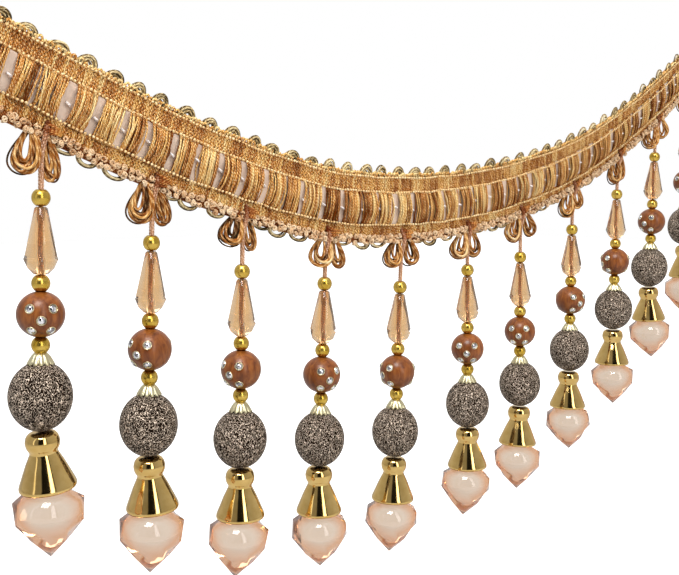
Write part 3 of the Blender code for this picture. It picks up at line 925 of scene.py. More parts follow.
def makeBundles():
    # yarns that float between the stitch rows: front = lift + crown (1 - 4 x x) + bow sin(pi t) to a power
    t = np.linspace(0, 1, bundles["steps"])
    arc = np.sin(math.pi * t)
    middles = leftEnd + bundlePitch * (np.arange(bundleCount) + 0.5)
    right = np.clip(middles / rightEnd, 0, 1)
    middles = middles + dice.normal(0, bundles["wander"], bundleCount) * (1 - bundles["steadyRight"] * right)
    widths = (bundlePitch - band["bundleGap"]) * dice.uniform(*bundles["widths"], bundleCount)
    widths = widths - bundles["openRight"] * right
    sway = dice.normal(0.0, bundles["drift"], (bundleCount, 1, 1))
    crossingShare, crossingReach = bundles["crossing"]
    shells = []
    for count, lift, bow, seed in bundles["layers"]:
        each = (bundleCount, count, 1)
        share = (np.arange(count) + 0.5) / count - 0.5
        fan = widths[:, None, None] * share[None, :, None] * (1.0 - bundles["waist"] * arc)
        lengths = middles[:, None, None] + fan
        lengths = lengths + (sway + dice.normal(0, bundles["yarnDrift"], each)) * arc
        crossing = np.where(dice.random(each) < crossingShare, dice.normal(0, crossingReach, each), 0)
        kink = dice.normal(0, bundles["kink"], (bundleCount, count, len(t)))
        lengths = lengths + crossing * (t - 0.5) + kink
        heights = bundles["top"] + (bundles["bottom"] - bundles["top"]) * t
        crown = bundles["crown"] * (1 - 4 * share ** 2)[None, :, None]
        swell = bow + dice.normal(0, bundles["slack"], each)
        swell = swell * (1 - bundles["flatRight"] * right)[:, None, None]
        fronts = (lift + crown - bundles["sink"] + swell * arc ** bundles["roundness"]) * mm
        paths = bandPoints(lengths, heights, fronts).reshape(-1, len(t), 3)
        order = (np.arange(bundleCount)[:, None] * count + np.arange(count)[None, :]).reshape(-1, 1)
        dye = weftDye(order, t[None, :], seed, bundles["dyeJitter"]) + bundles["paler"]
        # darker towards the bottom, and darker at both ends where the yarns tuck under the stitch rows:
        # painted shade at the ends
        dye = dye - bundles["darkerDown"] * t - bundles["shadeAtEnds"] * np.abs(2 * t - 1) ** 3
        radius = bundles["radius"] * dice.uniform(*bundles["radii"], (len(order), 1))
        shells.append(threads(paths, radius, 5, dye))
    return addPiece("bundleYarns", joinShells(shells), yarns["braid"])


stitches = {
    "rows": ((8.85, 1.45, 31), (4.85, 2.00, 32), (-4.05, 2.00, 33)),  # height, front in mm, seed
    "spacing": 0.98 * mm,
    "jitter": 0.05 * mm,
    "wave": 0.40 * mm,
    "waveLength": 5 * mm,
    "reach": 0.33 * mm,
    "reaches": (0.85, 1.1),
    "slant": 0.10 * mm,
    "belly": 0.12,
    "radius": 0.34 * mm,
    "radii": (0.8, 1.1),
    "tip": 0.2,              # radius of the tips, as a share
    "dye": (0.5, 0.2),       # middle, jitter
    "steps": 6,
}


def makeStitchRows():
    # rows of short plump stitches, each a spindle: radius = r (tip + (1 - tip) sqrt(sin))
    t = np.linspace(0, 1, stitches["steps"])
    plump = stitches["tip"] + (1 - stitches["tip"]) * np.sqrt(np.sin(math.pi * t))
    shells = []
    for height, front, seed in stitches["rows"]:
        spots = np.arange(leftEnd + stitches["spacing"], rightEnd, stitches["spacing"])
        count = len(spots)
        wander = stitches["wave"] * (smoothNoise(spots, seed, stitches["waveLength"]) - 0.5)
        reach = stitches["reach"] * dice.uniform(*stitches["reaches"], (count, 1))
        middles = (spots + dice.normal(0, stitches["jitter"], count))[:, None]
        lengths = middles + reach * (2 * t - 1)
        heights = height * mm + wander[:, None] + stitches["slant"] * (2 * t - 1)
        fronts = (front + stitches["belly"] * np.sin(math.pi * t)) * mm
        fronts = fronts + dice.normal(0, stitches["jitter"], (count, 1))
        radius = stitches["radius"] * dice.uniform(*stitches["radii"], (count, 1)) * plump
        dye = randomDye(*stitches["dye"], count)
        shells.append(threads(bandPoints(lengths, heights, fronts), radius, 6, dye, upwards))
    return addPiece("stitchRows", joinShells(shells), yarns["stitch"])


ribbonSizes = {
    "back": 0.15 * mm,
    "front": 0.90 * mm,
    "overlap": 0.15 * mm,      # under each strip
    "steps": 720,
    "across": 9,
    "wave": 0.08 * mm,
    "warpLines": 4,       # a mm
}


def ribbonMaterial():
    # satin with fine warp lines across the light and a slight watered look
    material, tree, shader = newMaterial(
        "ribbonSatin", Roughness=0.42, Sheen_Weight=0.35, Sheen_Roughness=0.3, Anisotropic=0.5)
    speck = placeGroup(tree, finishGroup, Scale=400.0, Contrast=1.6)
    colour = ramp(tree, (speck, "Value"), ((0.2, (0.530, 0.400, 0.310)), (0.8, (0.670, 0.520, 0.410))))
    feed(tree, shader, "Base Color", colour)
    split = splitPlace(tree, "UVMap", "UV", uv_map="thread")
    across = calculate(tree, "MULTIPLY", (split, "Y"), 2 * math.pi * ribbonSizes["warpLines"])
    lines = calculate(tree, "SINE", across)
    addBump(tree, shader, calculate(tree, "MULTIPLY_ADD", lines, 0.3, (speck, "Fine")), 0.35, 0.05 * mm)
    return material


def makeRibbon():
    # a thin satin strip behind the bundles, slightly swollen forward: front = flat + wave sin
    lengths = np.linspace(leftEnd, rightEnd, ribbonSizes["steps"])
    head, foot = band["upperFoot"] + ribbonSizes["overlap"], band["lowerHead"] - ribbonSizes["overlap"]
    share = np.linspace(0, 1, ribbonSizes["across"])
    heights = np.concatenate([head + (foot - head) * share, foot + (head - foot) * share])
    swell = np.concatenate([np.zeros(len(share)), np.sin(math.pi * share)])
    base = np.repeat([ribbonSizes["back"], ribbonSizes["front"]], len(share))
    ripple = np.sin(2 * math.pi * (lengths - leftEnd) / bundlePitch)[:, None]
    fronts = base + ribbonSizes["wave"] * swell * (1 + ripple)
    shell = ringGrid(bandPoints(lengths[:, None], heights[None, :], fronts), False, True)
    shell = layFlat(shell, lengths, heights)
    return addPiece("satinRibbon", shell, ribbonMaterial(), "ribbon", smooth=False)


ribbonStitches = {
    "shift": 0.25 * mm,
    "half": 0.65 * mm,
    "middle": 0.3,
    "slant": 0.22,
    "wander": 0.30 * mm,
    "front": 1.75,
    "bend": 0.35,
    "radius": 0.28 * mm,
    "dye": 0.8,
    "steps": 6,
}


def makeRibbonStitches():
    # a short white thread across the ribbon in every gap
    gaps = (leftEnd + bundlePitch * np.arange(1, bundleCount) + ribbonStitches["shift"])[:, None]
    t = np.linspace(-1, 1, ribbonStitches["steps"])
    lengths = gaps + ribbonStitches["half"] * t
    heights = (ribbonStitches["middle"] - ribbonStitches["slant"] * t) * mm
    heights = heights + dice.normal(0, ribbonStitches["wander"], gaps.shape)
    fronts = (ribbonStitches["front"] - ribbonStitches["bend"] * t ** 2) * mm
    paths = bandPoints(lengths, heights, fronts)
    shell = threads(paths, ribbonStitches["radius"], 6, ribbonStitches["dye"], upwards)
    return addPiece("ribbonStitches", shell, yarns["white"])


cloth = makeGround()
clothPieces = [
    makeStripFloats(), makeEdgeLoops(), makeBundles(), makeStitchRows(), makeRibbonStitches(), makeRibbon()]
print("woven heading made")


# Picots, edging and bows

picots = {
    "rise": 2.30 * mm,
    "rises": (0.75, 1.10),
    "half": 2.3 * mm,
    "halves": (0.85, 1.10),
    "phase": -0.01,
    "shift": 1.5 * mm,
    "wander": 0.45 * mm,
    "lean": 0.5 * mm,
    "bury": 0.3 * mm,
    "front": 0.75,
    "flare": 0.35 * mm,
    "flareJitter": 0.8,
    "dye": (0.36, 0.07),     # middle, jitter
    "litFlank": (0.30, 0.9),    # painted light: how much paler the lit flank is, and the angle where
    "yarn": 0.235 * mm,
    "overrun": 0.05,
    "steps": 20,
    "narrow": 1.12,
    "strands": (
        # size, front mm, dye
        (1.00, 0.00, -0.20), (0.84, 0.20, 0.25), (0.68, 0.10, -0.35), (0.52, 0.30, 0.10), (0.36, 0.10, -0.30),
    ),
}


def makeUpperPicots():
    # arches of strands one inside the other: along = -half cos a to the power narrow, rise = sin a
    a = archSweep(picots["overrun"], picots["steps"])
    middles = leftEnd + bundlePitch * (np.arange(bundleCount) + picots["phase"]) + picots["shift"]
    middles = (middles + dice.normal(0, picots["wander"], bundleCount))[:, None]
    half = picots["half"] * dice.uniform(*picots["halves"], (bundleCount, 1))
    rise = picots["rise"] * dice.uniform(*picots["rises"], (bundleCount, 1))
    shade = dice.normal(*picots["dye"], (bundleCount, 1))
    sweep = np.sign(np.cos(a)) * np.abs(np.cos(a)) ** picots["narrow"]
    paler, where = picots["litFlank"]
    shells = []
    for size, front, darker in picots["strands"]:
        lengths = middles - size * half * sweep + picots["lean"] * size * np.sin(a)
        heights = band["topEdge"] - picots["bury"] + (size * rise + picots["bury"]) * np.sin(a)
        flare = picots["flare"] * np.sin(a) * dice.normal(0, picots["flareJitter"], (bundleCount, 1))
        fronts = (picots["front"] + front) * mm + flare
        # paler on the upper left of each arch: painted light on its lit flank
        dye = np.clip(shade + darker + paler * np.sin(a) * np.cos(a - where), 0, 1)
        shells.append(threads(bandPoints(lengths, heights, fronts), picots["yarn"], 6, dye))
    return addPiece("picotLoops", joinShells(shells), yarns["picot"], "upper_picots")


edgingTape = {
    "section": ((-7.0, 0.1), (-8.9, 0.1), (-8.9, 1.1), (-7.0, 1.1)),  # height, front in mm
    "steps": 400,
    "dye": 0.1,
}


def makeEdgingTape():
    # the flat tape under the knots, dyed dark rust as painted shade in the gaps between them
    shell = bandSlab(
        edgingTape["section"], edgingTape["steps"], lambda lengths: np.full(len(lengths), edgingTape["dye"]))
    return addPiece("edgingTape", shell, yarns["rust"], "lower_edging", smooth=False)


edging = {
    "rows": ((-7.30, 1.20, 0), (-8.50, 1.40, 1)),  # height, front in mm, 1 where stepped and scalloped
    "spacing": 1.60 * mm,
    "start": 0.9,
    "wander": 0.18 * mm,
    "unevenHeight": 0.14 * mm,
    "unevenFront": 0.15 * mm,
    "clearEnds": 0.8 * mm,
    "sizes": (0.85, 1.15),
    "knot": 0.48 * mm,
    "knotHalf": 0.47,        # how far round a knot's profile runs, in half turns
    "knotSpread": (1.0, 0.4, 1.0),
    "steps": 5,
    "scallop": 0.35 * mm,
    "scallopPitch": 6.0 * mm,
    "curls": ((0.62, 0.40, 0.5), (0.60, 0.30, 1.5), (0.50, 0.60, 0.9)),  # radius mm, front mm, how far turned
    "curlSteps": 8,
    "curlSquash": 0.75,
    "curlYarn": 0.20 * mm,
    "dye": (0.15, 0.15),       # middle, jitter: the knot cores kept dark as painted shade between the curls
    "curlDye": (0.60, 0.18),
}


def makeEdgingKnots():
    # round knots, each turned its own way, with curls of yarn over each: knot radius = r sqrt(1 - t t)
    shells = []
    t = np.sin(np.linspace(-edging["knotHalf"], edging["knotHalf"], edging["steps"]) * math.pi)
    a = 2 * math.pi * np.arange(edging["curlSteps"]) / edging["curlSteps"]
    count = int((rightEnd - leftEnd) / edging["spacing"]) - 1
    for height, front, stepped in edging["rows"]:
        lengths = leftEnd + (np.arange(count) + edging["start"] + 0.5 * stepped) * edging["spacing"]
        lengths = lengths + dice.normal(0, edging["wander"], count)
        lengths = np.clip(lengths, leftEnd + edging["clearEnds"], rightEnd - edging["clearEnds"])
        scallop = edging["scallop"] * np.sin(2 * math.pi * lengths / edging["scallopPitch"]) * stepped
        heights = height * mm + scallop + dice.normal(0, edging["unevenHeight"], count)
        fronts = front * mm + dice.normal(0, edging["unevenFront"], count)
        centres = bandPoints(lengths, heights, fronts)
        size = dice.uniform(*edging["sizes"], (count, 1))
        axes = unit(dice.normal(0, 1, (count, 3)) * np.array(edging["knotSpread"]))
        paths = centres[:, None] + edging["knot"] * axes[:, None] * size[:, :, None] * t[:, None]
        # the cores are dyed dark: painted shade in the gaps between the curls
        dye = randomDye(*edging["dye"], count)
        shells.append(threads(paths, edging["knot"] * size * np.sqrt(1 - t ** 2), 6, dye))
        for curl, ahead, spread in edging["curls"]:
            normals = unit(dice.normal(0, spread, (count, 3)) + np.array(forwards))
            first = unit(np.cross(normals, dice.normal(0, 1, (count, 3))))
            second = edging["curlSquash"] * np.sin(a)[:, None] * np.cross(normals, first)[:, None]
            rings = centres[:, None] + ahead * mm * normals[:, None] + curl * mm * size[:, :, None] * (
                np.cos(a)[:, None] * first[:, None] + second)
            shade = np.clip(dye + dice.normal(*edging["curlDye"], (count, 1)), 0, 1)
            shells.append(threads(rings, edging["curlYarn"], 5, shade, normals[:, None], closed=True))
    return addPiece("edgingKnots", joinShells(shells), yarns["edging"])


lowerPicots = {
    "rows": ((6.4, 2.3, 0.5), (11.6, 2.4, 1.2), (17.8, 2.5, 1.0)),  # place, half width, fall in mm
    "strands": ((1.0, 0.0, -0.30), (0.86, 0.20, 0.30), (0.70, 0.0, -0.1)),  # size, front mm, dye
    "wander": 0.6 * mm,
    "sizes": (0.85, 1.15),
    "dye": (0.40, 0.1),     # middle, jitter
    "litFlank": 0.25,          # painted light: how much paler the lit left side is
    "bury": 0.6,
    "sag": 0.5,
    "front": 0.7,
    "flare": 0.35 * mm,
    "flareJitter": 0.6,
    "overrun": 0.08,
    "steps": 26,
}


def makeLowerPicots():
    # flat loops of strands that hug the knots between the drops
    shells = []
    a = archSweep(lowerPicots["overrun"], lowerPicots["steps"])
    roots = np.array([drop["pitchPlace"] for drop in drops])
    for after, half, fall in lowerPicots["rows"]:
        starts = roots + after * mm + dice.normal(0, lowerPicots["wander"], len(roots))
        starts = starts[starts + half * mm < rightEnd]
        count = len(starts)
        size = dice.uniform(*lowerPicots["sizes"], (count, 1))
        shade = dice.normal(*lowerPicots["dye"], (count, 1))
        for strand, front, darker in lowerPicots["strands"]:
            lengths = starts[:, None] - size * strand * half * mm * np.cos(a)
            hang = size * strand * (fall + lowerPicots["sag"]) * mm * np.sin(a)
            heights = band["bottomEdge"] + lowerPicots["bury"] * mm - hang
            flare = lowerPicots["flare"] * np.sin(a) * dice.normal(0, lowerPicots["flareJitter"], (count, 1))
            fronts = (lowerPicots["front"] + front) * mm + flare
            # paler towards the left end of each loop: painted light on the lit side
            dye = np.clip(shade + darker + lowerPicots["litFlank"] * np.cos(a), 0, 1)
            shells.append(threads(bandPoints(lengths, heights, fronts), picots["yarn"], 6, dye))
    return addPiece("lowerPicots", joinShells(shells), yarns["picot"])


rootKnots = {
    "strands": 10,
    "reach": 4.2 * mm,
    "reaches": (0.75, 1.0),
    "longest": 0.4,          # which strand is longest, as a share from the top
    "shorter": 0.4,          # how much the strands away from it lose
    "start": (-0.1 * mm, 0.3 * mm),    # middle, jitter along the band
    "nearHeight": -5.6 * mm,
    "nearFan": -2.6 * mm,
    "farHeight": -6.0 * mm,
    "farFan": -1.2 * mm,
    "uneven": 0.25 * mm,
    "front": 1.15,
    "belly": 0.85,
    "roundness": 0.7,
    "frontJitter": 0.35,
    "dye": (0.95, -0.08, 0.10),        # change towards the far end, start, jitter
    "steps": 10,
    "radius": 0.27 * mm,
}


def makeRootKnots():
    # a small sheaf of rust yarns beside each cord, golden where it spreads:
    # front + belly sin(pi t) to a power
    t = np.linspace(0, 1, rootKnots["steps"])
    count = rootKnots["strands"]
    level = np.linspace(0, 1, count)
    arc = rootKnots["front"] + rootKnots["belly"] * np.sin(math.pi * t) ** rootKnots["roundness"]
    change, start, jitter = rootKnots["dye"]
    shells = []
    for drop in drops:
        reach = rootKnots["reach"] * dice.uniform(*rootKnots["reaches"], count)
        far = drop["length"] + reach * (1 - rootKnots["shorter"] * np.abs(level - rootKnots["longest"]))
        near = drop["length"] + dice.normal(*rootKnots["start"], count)
        top = rootKnots["farHeight"] + dice.normal(0, rootKnots["uneven"], count)
        top = top + rootKnots["farFan"] * level
        foot = rootKnots["nearHeight"] + rootKnots["nearFan"] * level
        lengths = near[:, None] + (far - near)[:, None] * t
        heights = foot[:, None] + (top - foot)[:, None] * t
        fronts = (arc + dice.uniform(0, rootKnots["frontJitter"], (count, 1))) * mm
        dye = np.clip(change * t + start + dice.normal(0, jitter, (count, 1)), 0, 1)
        shells.append(threads(bandPoints(lengths, heights, fronts), rootKnots["radius"], 6, dye))
    return addPiece("rootKnots", joinShells(shells), yarns["rust"])


bowStrands = (
    # side, size, width share, forward mm, thread radius mm, dye
    (0, 0.98, 0.97, -0.5, 0.20, 0.03),
    (0, 0.95, 0.90, 0.2, 0.38, 0.42),
    (0, 0.89, 0.80, -0.3, 0.38, 0.28),
    (0, 0.84, 0.72, 0.9, 0.36, 0.70),
    (0, 0.93, 0.56, 0.5, 0.36, 0.14),
    (0, 0.77, 0.62, 0.4, 0.38, 0.40),
    (0, 0.70, 0.48, -0.5, 0.38, 0.16),
    (0, 0.62, 0.30, 0.6, 0.36, 0.42),
    (0, 0.82, 0.34, -0.2, 0.36, 0.24),
    (1, 0.98, 0.97, -0.4, 0.20, 0.03),
    (1, 0.93, 0.88, 0.2, 0.37, 0.42),
    (1, 0.86, 0.72, 0.7, 0.37, 0.25),
    (1, 0.91, 0.54, 0.1, 0.36, 0.30),
    (1, 0.77, 0.50, -0.5, 0.36, 0.12),
    (1, 0.68, 0.30, 0.3, 0.34, 0.42),
)
bowShapes = (
    # left and right cluster of each drop: root mm, tilt degrees, length mm, half width mm
    # then a shift of the dye
    ((-2.2, -17.0, 8.4, 3.0), (1.1, 8.0, 8.2, 1.5), 0.02),
    ((-1.9, -16.0, 8.2, 2.9), (1.3, 10.0, 7.8, 1.8), 0.02),
    ((-2.0, -20.0, 6.6, 3.0), (0.9, 9.0, 7.0, 1.4), -0.08),
    ((-0.8, -14.0, 6.8, 3.3), (2.8, 16.0, 7.2, 1.9), 0.08),
    ((-2.0, -16.0, 6.8, 2.6), (2.4, 18.0, 7.0, 2.3), -0.03),
    ((-2.0, -20.0, 7.6, 2.8), (1.8, 18.0, 7.6, 2.2), 0.07),
    ((-2.0, -24.0, 8.0, 2.9), (2.4, 30.0, 8.0, 2.3), 0.05),
    ((-2.0, -16.0, 8.4, 2.6), (1.6, 14.0, 7.0, 1.7), 0.04),
    ((-1.4, -10.0, 8.8, 2.8), (0.9, 6.0, 8.6, 2.0), -0.03),
    ((-2.4, -18.0, 8.4, 2.9), (2.4, 22.0, 7.6, 2.4), 0.06),
    ((-2.2, -18.0, 8.6, 2.8), (1.8, 16.0, 8.4, 2.2), 0.08),
)

bows = {
    "steps": 44,
    "sides": 6,
    "legs": 0.5 * mm,
    "bury": 1.0 * mm,
    "facing": 30.0,
    "facingJitter": 6.0,
    "lengths": (0.97, 1.03),
    "widths": (0.96, 1.03),
    "neck": 0.4,                 # width at the root, as a share
    "fullness": 1.25,
    "tiltJitter": 2.5,
    "rootJitter": 0.3,
    "dyeJitter": 0.08,
    "dyeWave": 0.12,
    "rippleStart": 6,
}


def makeBows():
    # each loop: down = length (1 - cos 2 pi u) / 2, across = half width x sin 2 pi u x belly,
    # where belly = neck + (1 - neck) x the share of the way down
    u = np.linspace(0, 1, bows["steps"])
    reach = (1 - np.cos(2 * math.pi * u)) / 2
    wave = np.sin(2 * math.pi * u)
    belly = bows["neck"] + (1 - bows["neck"]) * reach
    paths, radii, dyes = [], [], []
    for drop, (*clusters, dyeShift) in zip(drops, bowShapes):
        rise = math.tan(slopeAt(drop["length"]))
        facing = math.radians(bows["facing"] + dice.normal(0, bows["facingJitter"]))
        for side, size, share, forward, radius, dye in bowStrands:
            root, tilt, length, half = clusters[side]
            down = length * mm * size * dice.uniform(*bows["lengths"]) * reach
            tip = math.radians(tilt + dice.normal(0, bows["tiltJitter"]))
            across = half * mm * share * dice.uniform(*bows["widths"]) * wave * belly * bows["fullness"]
            across = across + bows["legs"] * (0.5 - u)
            lean = across * math.cos(tip) * math.cos(facing) + down * math.sin(tip)
            paths.append(np.stack([
                drop["root"][0] + (root + dice.normal(0, bows["rootJitter"])) * mm + lean,
                drop["root"][1] - across * math.sin(facing) - forward * mm * reach,
                drop["root"][2] + root * mm * rise + bows["bury"]
                - (down + bows["bury"] * reach) * math.cos(tip) + across * math.sin(tip) * reach,
            ], axis=1))
            radii.append(np.full(len(u), radius * mm))
            shade = dye + dyeShift + dice.normal(0, bows["dyeJitter"])
            ripple = np.sin(2 * math.pi * u + dice.uniform(0, bows["rippleStart"]))
            dyes.append(np.clip(shade + bows["dyeWave"] * ripple, 0, 1))
    shell = threads(np.array(paths), np.array(radii), bows["sides"], np.array(dyes))
    return addPiece("loopBows", shell, yarns["bow"])


cords = {
    "strand": 0.33 * mm,
    "lay": 0.30 * mm,
    "pitch": 2.0 * mm,
    "over": ((-5.2, 0.9), (-6.9, 1.8), (-8.6, 2.3)),  # height, front in mm: the way over the knots
    "leave": 3.2 * mm,
    "endDepth": 1.2 * mm,
    "coreRadius": 0.50 * mm,
    "coreEnd": 47.0 * mm,
    "coreSteps": 12,
    "coreSides": 10,
    "coreDye": 0.1,
    "plies": 3,
    "sides": 5,
    "steps": 100,
    "dye": (-0.7, 1.8),         # rising from the heading to the bead
    "dyeLimits": (0.05, 0.6),
    "dyeJitter": 0.06,
}


def makeCords():
    # a twisted cord over the edging and down to the first bead, and a plain core through the others
    ropes, cores = [], []
    for drop in drops:
        over = [bandPoints(drop["length"], height * mm, front * mm) for height, front in cords["over"]]
        stretch = np.linspace(cords["leave"], drop["cord"] - cords["endDepth"], 3)
        ropes.append(over + [drop["root"] + drop["down"] * length for length in stretch])
        depth = np.linspace(0, 1, cords["coreSteps"])[:, None] * cords["coreEnd"]
        cores.append(drop["bead"] + drop["down"] * depth)
    paths = smoothPath(np.array(ropes), cords["steps"])
    dye = np.clip(np.linspace(*cords["dye"], cords["steps"]), *cords["dyeLimits"])
    dye = np.clip(dye + dice.normal(0, cords["dyeJitter"], paths.shape[:2]), 0, 1)
    twisted = rope(paths, cords["strand"], cords["lay"], cords["pitch"], cords["plies"], cords["sides"], dye)
    plain = threads(np.array(cores), cords["coreRadius"], cords["coreSides"], cords["coreDye"])
    return addPiece("hangingCords", joinShells([twisted, plain]), yarns["cord"])


clothPieces += [
    makeUpperPicots(), makeEdgingTape(), makeEdgingKnots(), makeLowerPicots(),
    makeRootKnots(), makeBows(), makeCords()]
print("picots, edging, bows and cords made")


# Bead materials

def goldMaterial(name, colour, dark, roughness, bump):
    # bright plating: base colour a little darker in patches, and a faint orange-peel skin
    material, tree, shader = newMaterial(name, Metallic=1.0)
    speck = placeGroup(tree, finishGroup, Scale=420.0, Contrast=1.4)
    feed(tree, shader, "Base Color", ramp(tree, (speck, "Value"), ((0.25, dark), (0.75, colour))))
    rough = calculate(tree, "MULTIPLY_ADD", (speck, "Fine"), 0.08, roughness - 0.03)
    feed(tree, shader, "Roughness", rough)
    addBump(tree, shader, (speck, "Value"), bump, 0.05 * mm)
    return material


acrylicLook = {
    "clarity": 0.93,
    "edge": (3.0, -0.42),    # gain and start of the painted edge tint
    "speckScale": 500.0,
    "speckContrast": 1.2,
    "haze": 0.06,
}


def acrylicMaterial(name, colour, tip, edge, bend, density, tint, roughness):
    # clear plastic tinted through its depth, from its top to its tip, with a painted tint where a face turns
    # away from the eye that stands in for the longer light path through it
    material, tree, shader = newMaterial(name, IOR=bend, Transmission_Weight=acrylicLook["clarity"])
    facing = (addNode(tree, "LayerWeight"), "Facing")
    paintedEdgeShare = calculate(tree, "MULTIPLY_ADD", facing, *acrylicLook["edge"], clamp=True)
    down = addNode(tree, "Attribute", attribute_name="dye")
    shade = mixColour(tree, paintedEdgeShare, mixColour(tree, (down, "Fac"), colour, tip), edge)
    feed(tree, shader, "Base Color", shade)
    speck = placeGroup(
        tree, finishGroup, Scale=acrylicLook["speckScale"], Contrast=acrylicLook["speckContrast"])
    rough = calculate(tree, "MULTIPLY_ADD", (speck, "Value"), acrylicLook["haze"], roughness)
    feed(tree, shader, "Roughness", rough)
    depth = addNode(tree, "VolumeAbsorption")
    feed(tree, depth, "Color", tint)
    feed(tree, depth, "Density", density)
    join(tree, depth, 0, tree.nodes["Material Output"], "Volume")
    return material


def stretchedNoise(tree, upright, **settings):
    # noise on Object coordinates, drawn out along Z where its upright scale is under one
    place, stretch, noise = (addNode(tree, kind) for kind in ("TexCoord", "Mapping", "TexNoise"))
    stretch.inputs["Scale"].default_value = (1.0, 1.0, upright)
    join(tree, place, "Object", stretch, "Vector")
    join(tree, stretch, 0, noise, "Vector")
    for label, value in settings.items():
        noise.inputs[label].default_value = value
    return (noise, 0)


def brownBeadMaterial():
    # polished wood: upright grain from noise stretched along Z, under a clear coat
    material, tree, shader = newMaterial(
        "brownBead", Specular_IOR_Level=0.3, Coat_Weight=0.15, Coat_Roughness=0.16)
    grain = stretchedNoise(tree, 0.22, Scale=900.0, Detail=4.0, Roughness=0.6, Distortion=0.8)
    tone = ramp(tree, grain, (
        (0.30, (0.085, 0.019, 0.003)), (0.46, (0.165, 0.044, 0.007)),
        (0.58, (0.215, 0.064, 0.011)), (0.75, (0.270, 0.092, 0.018))))
    speck = placeGroup(tree, finishGroup, Scale=260.0, Contrast=1.5)
    feed(tree, shader, "Base Color", mixColour(tree, 0.30, tone, (speck, "Value"), "OVERLAY"))
    feed(tree, shader, "Roughness", calculate(tree, "MULTIPLY_ADD", grain, 0.15, 0.28))
    addBump(tree, shader, grain, 0.12, 0.05 * mm)
    return material


def crackleMaterial():
    # bright winding filaments on a dark ground: ridge = 1 - |noise - 1/2| x gain
    material, tree, shader = newMaterial("crackleBall", Metallic=0.35, Specular_IOR_Level=0.15)
    noise = stretchedNoise(tree, 0.65, Scale=2750.0, Detail=0.0, Distortion=0.3)
    off = calculate(tree, "ABSOLUTE", calculate(tree, "SUBTRACT", noise, 0.5))
    ridge = calculate(tree, "SUBTRACT", 1.0, calculate(tree, "MULTIPLY", off, 9.5), clamp=True)
    feed(tree, shader, "Base Color", ramp(tree, ridge, (
        (0.0, (0.010, 0.005, 0.002)), (0.35, (0.036, 0.019, 0.009)),
        (0.60, (0.300, 0.200, 0.132)), (0.96, (1.000, 0.850, 0.690)))))
    feed(tree, shader, "Roughness", ramp(tree, ridge, ((0.0, grey(0.75)), (1.0, grey(0.30)))))
    addBump(tree, shader, ridge, 0.8, 0.12 * mm)
    return material


def stoneMaterial():
    # foiled stones: mirror facets with a slightly uneven backing
    material, tree, shader = newMaterial(
        "clearStone", Metallic=1.0, Roughness=0.05, Coat_Weight=1.0, Coat_Roughness=0.02)
    speck = placeGroup(tree, finishGroup, Scale=900.0, Contrast=2.5)
    tone = ramp(tree, (speck, "Value"), ((0.35, (0.25, 0.24, 0.26)), (0.6, (0.90, 0.89, 0.91))))
    feed(tree, shader, "Base Color", tone)
    return material


beadGold = goldMaterial("beadGold", (0.750, 0.520, 0.120), (0.540, 0.330, 0.035), 0.25, 0.05)
bellGold = goldMaterial("bellGold", (0.740, 0.510, 0.190), (0.640, 0.420, 0.135), 0.09, 0.04)
capGold = goldMaterial("capGold", (0.800, 0.730, 0.480), (0.660, 0.580, 0.340), 0.30, 0.10)
# edge: the painted tint on faces seen at a slant, standing in for light's longer path through the plastic
peach = acrylicMaterial(
    "peachAcrylic", colour=(0.985, 0.600, 0.270), tip=(0.985, 0.760, 0.460), edge=(0.960, 0.830, 0.660),
    bend=1.42, density=90.0, tint=(0.98, 0.70, 0.36), roughness=0.02)
crystal = acrylicMaterial(
    "clearAcrylic", colour=(0.990, 0.930, 0.860), tip=(0.985, 0.780, 0.620), edge=(0.985, 0.500, 0.260),
    bend=1.49, density=36.0, tint=(0.985, 0.70, 0.40), roughness=0.01)
brown = brownBeadMaterial()
crackle = crackleMaterial()
stone = stoneMaterial()
print("bead materials made")


# Beads

def ballProfile(bead):
    # an ellipsoid from the top hole round to the bottom hole, then back up inside the bore
    opening = math.asin(bead["hole"] / bead["radius"])
    latitude = np.linspace(math.pi / 2 - opening, opening - math.pi / 2, bead["steps"])
    radii = bead["radius"] * np.cos(latitude)
    heights = bead["halfHeight"] * np.sin(latitude) - bead["depth"]
    lip = bead["lip"]    # the bore's wall stands in from it, by shares of it
    innerRadii = bead["hole"] - lip * np.array([0.4, 0.5, 0.5, 0.4])
    innerHeights = np.array([
        heights[-1] + 0.5 * lip, heights[-1] + 3 * lip, heights[0] - 3 * lip, heights[0] - 0.5 * lip])
    return np.concatenate([radii, innerRadii]), np.concatenate([heights, innerHeights])


goldBeads = {
    "radius": 1.92 * mm,
    "halfHeight": 1.95 * mm,
    "hole": 0.95 * mm,
    "lip": 0.12 * mm,
    "steps": 15,
    "sides": 26,
    "depths": (0.0, 17.5 * mm, 30.3 * mm),
}


def goldBeadShell():
    shells = [
        turnedShell(*ballProfile({**goldBeads, "depth": depth}), goldBeads["sides"])
        for depth in goldBeads["depths"]]
    return joinShells(shells)


cap = {
    "corners": (    # radius, height in mm
        (1.0, -31.7), (1.2, -31.75), (1.8, -32.4), (2.55, -33.8),
        (2.72, -34.2), (2.55, -34.25), (1.5, -33.2), (0.7, -32.9)),
    "steps": 17,
    "flutes": 13,
    "sidesPerFlute": 6,
    "depth": 0.24,
    "scallop": 0.5 * mm,
    "flatTo": 1.0 * mm,
    "fullAt": 2.7 * mm,
}


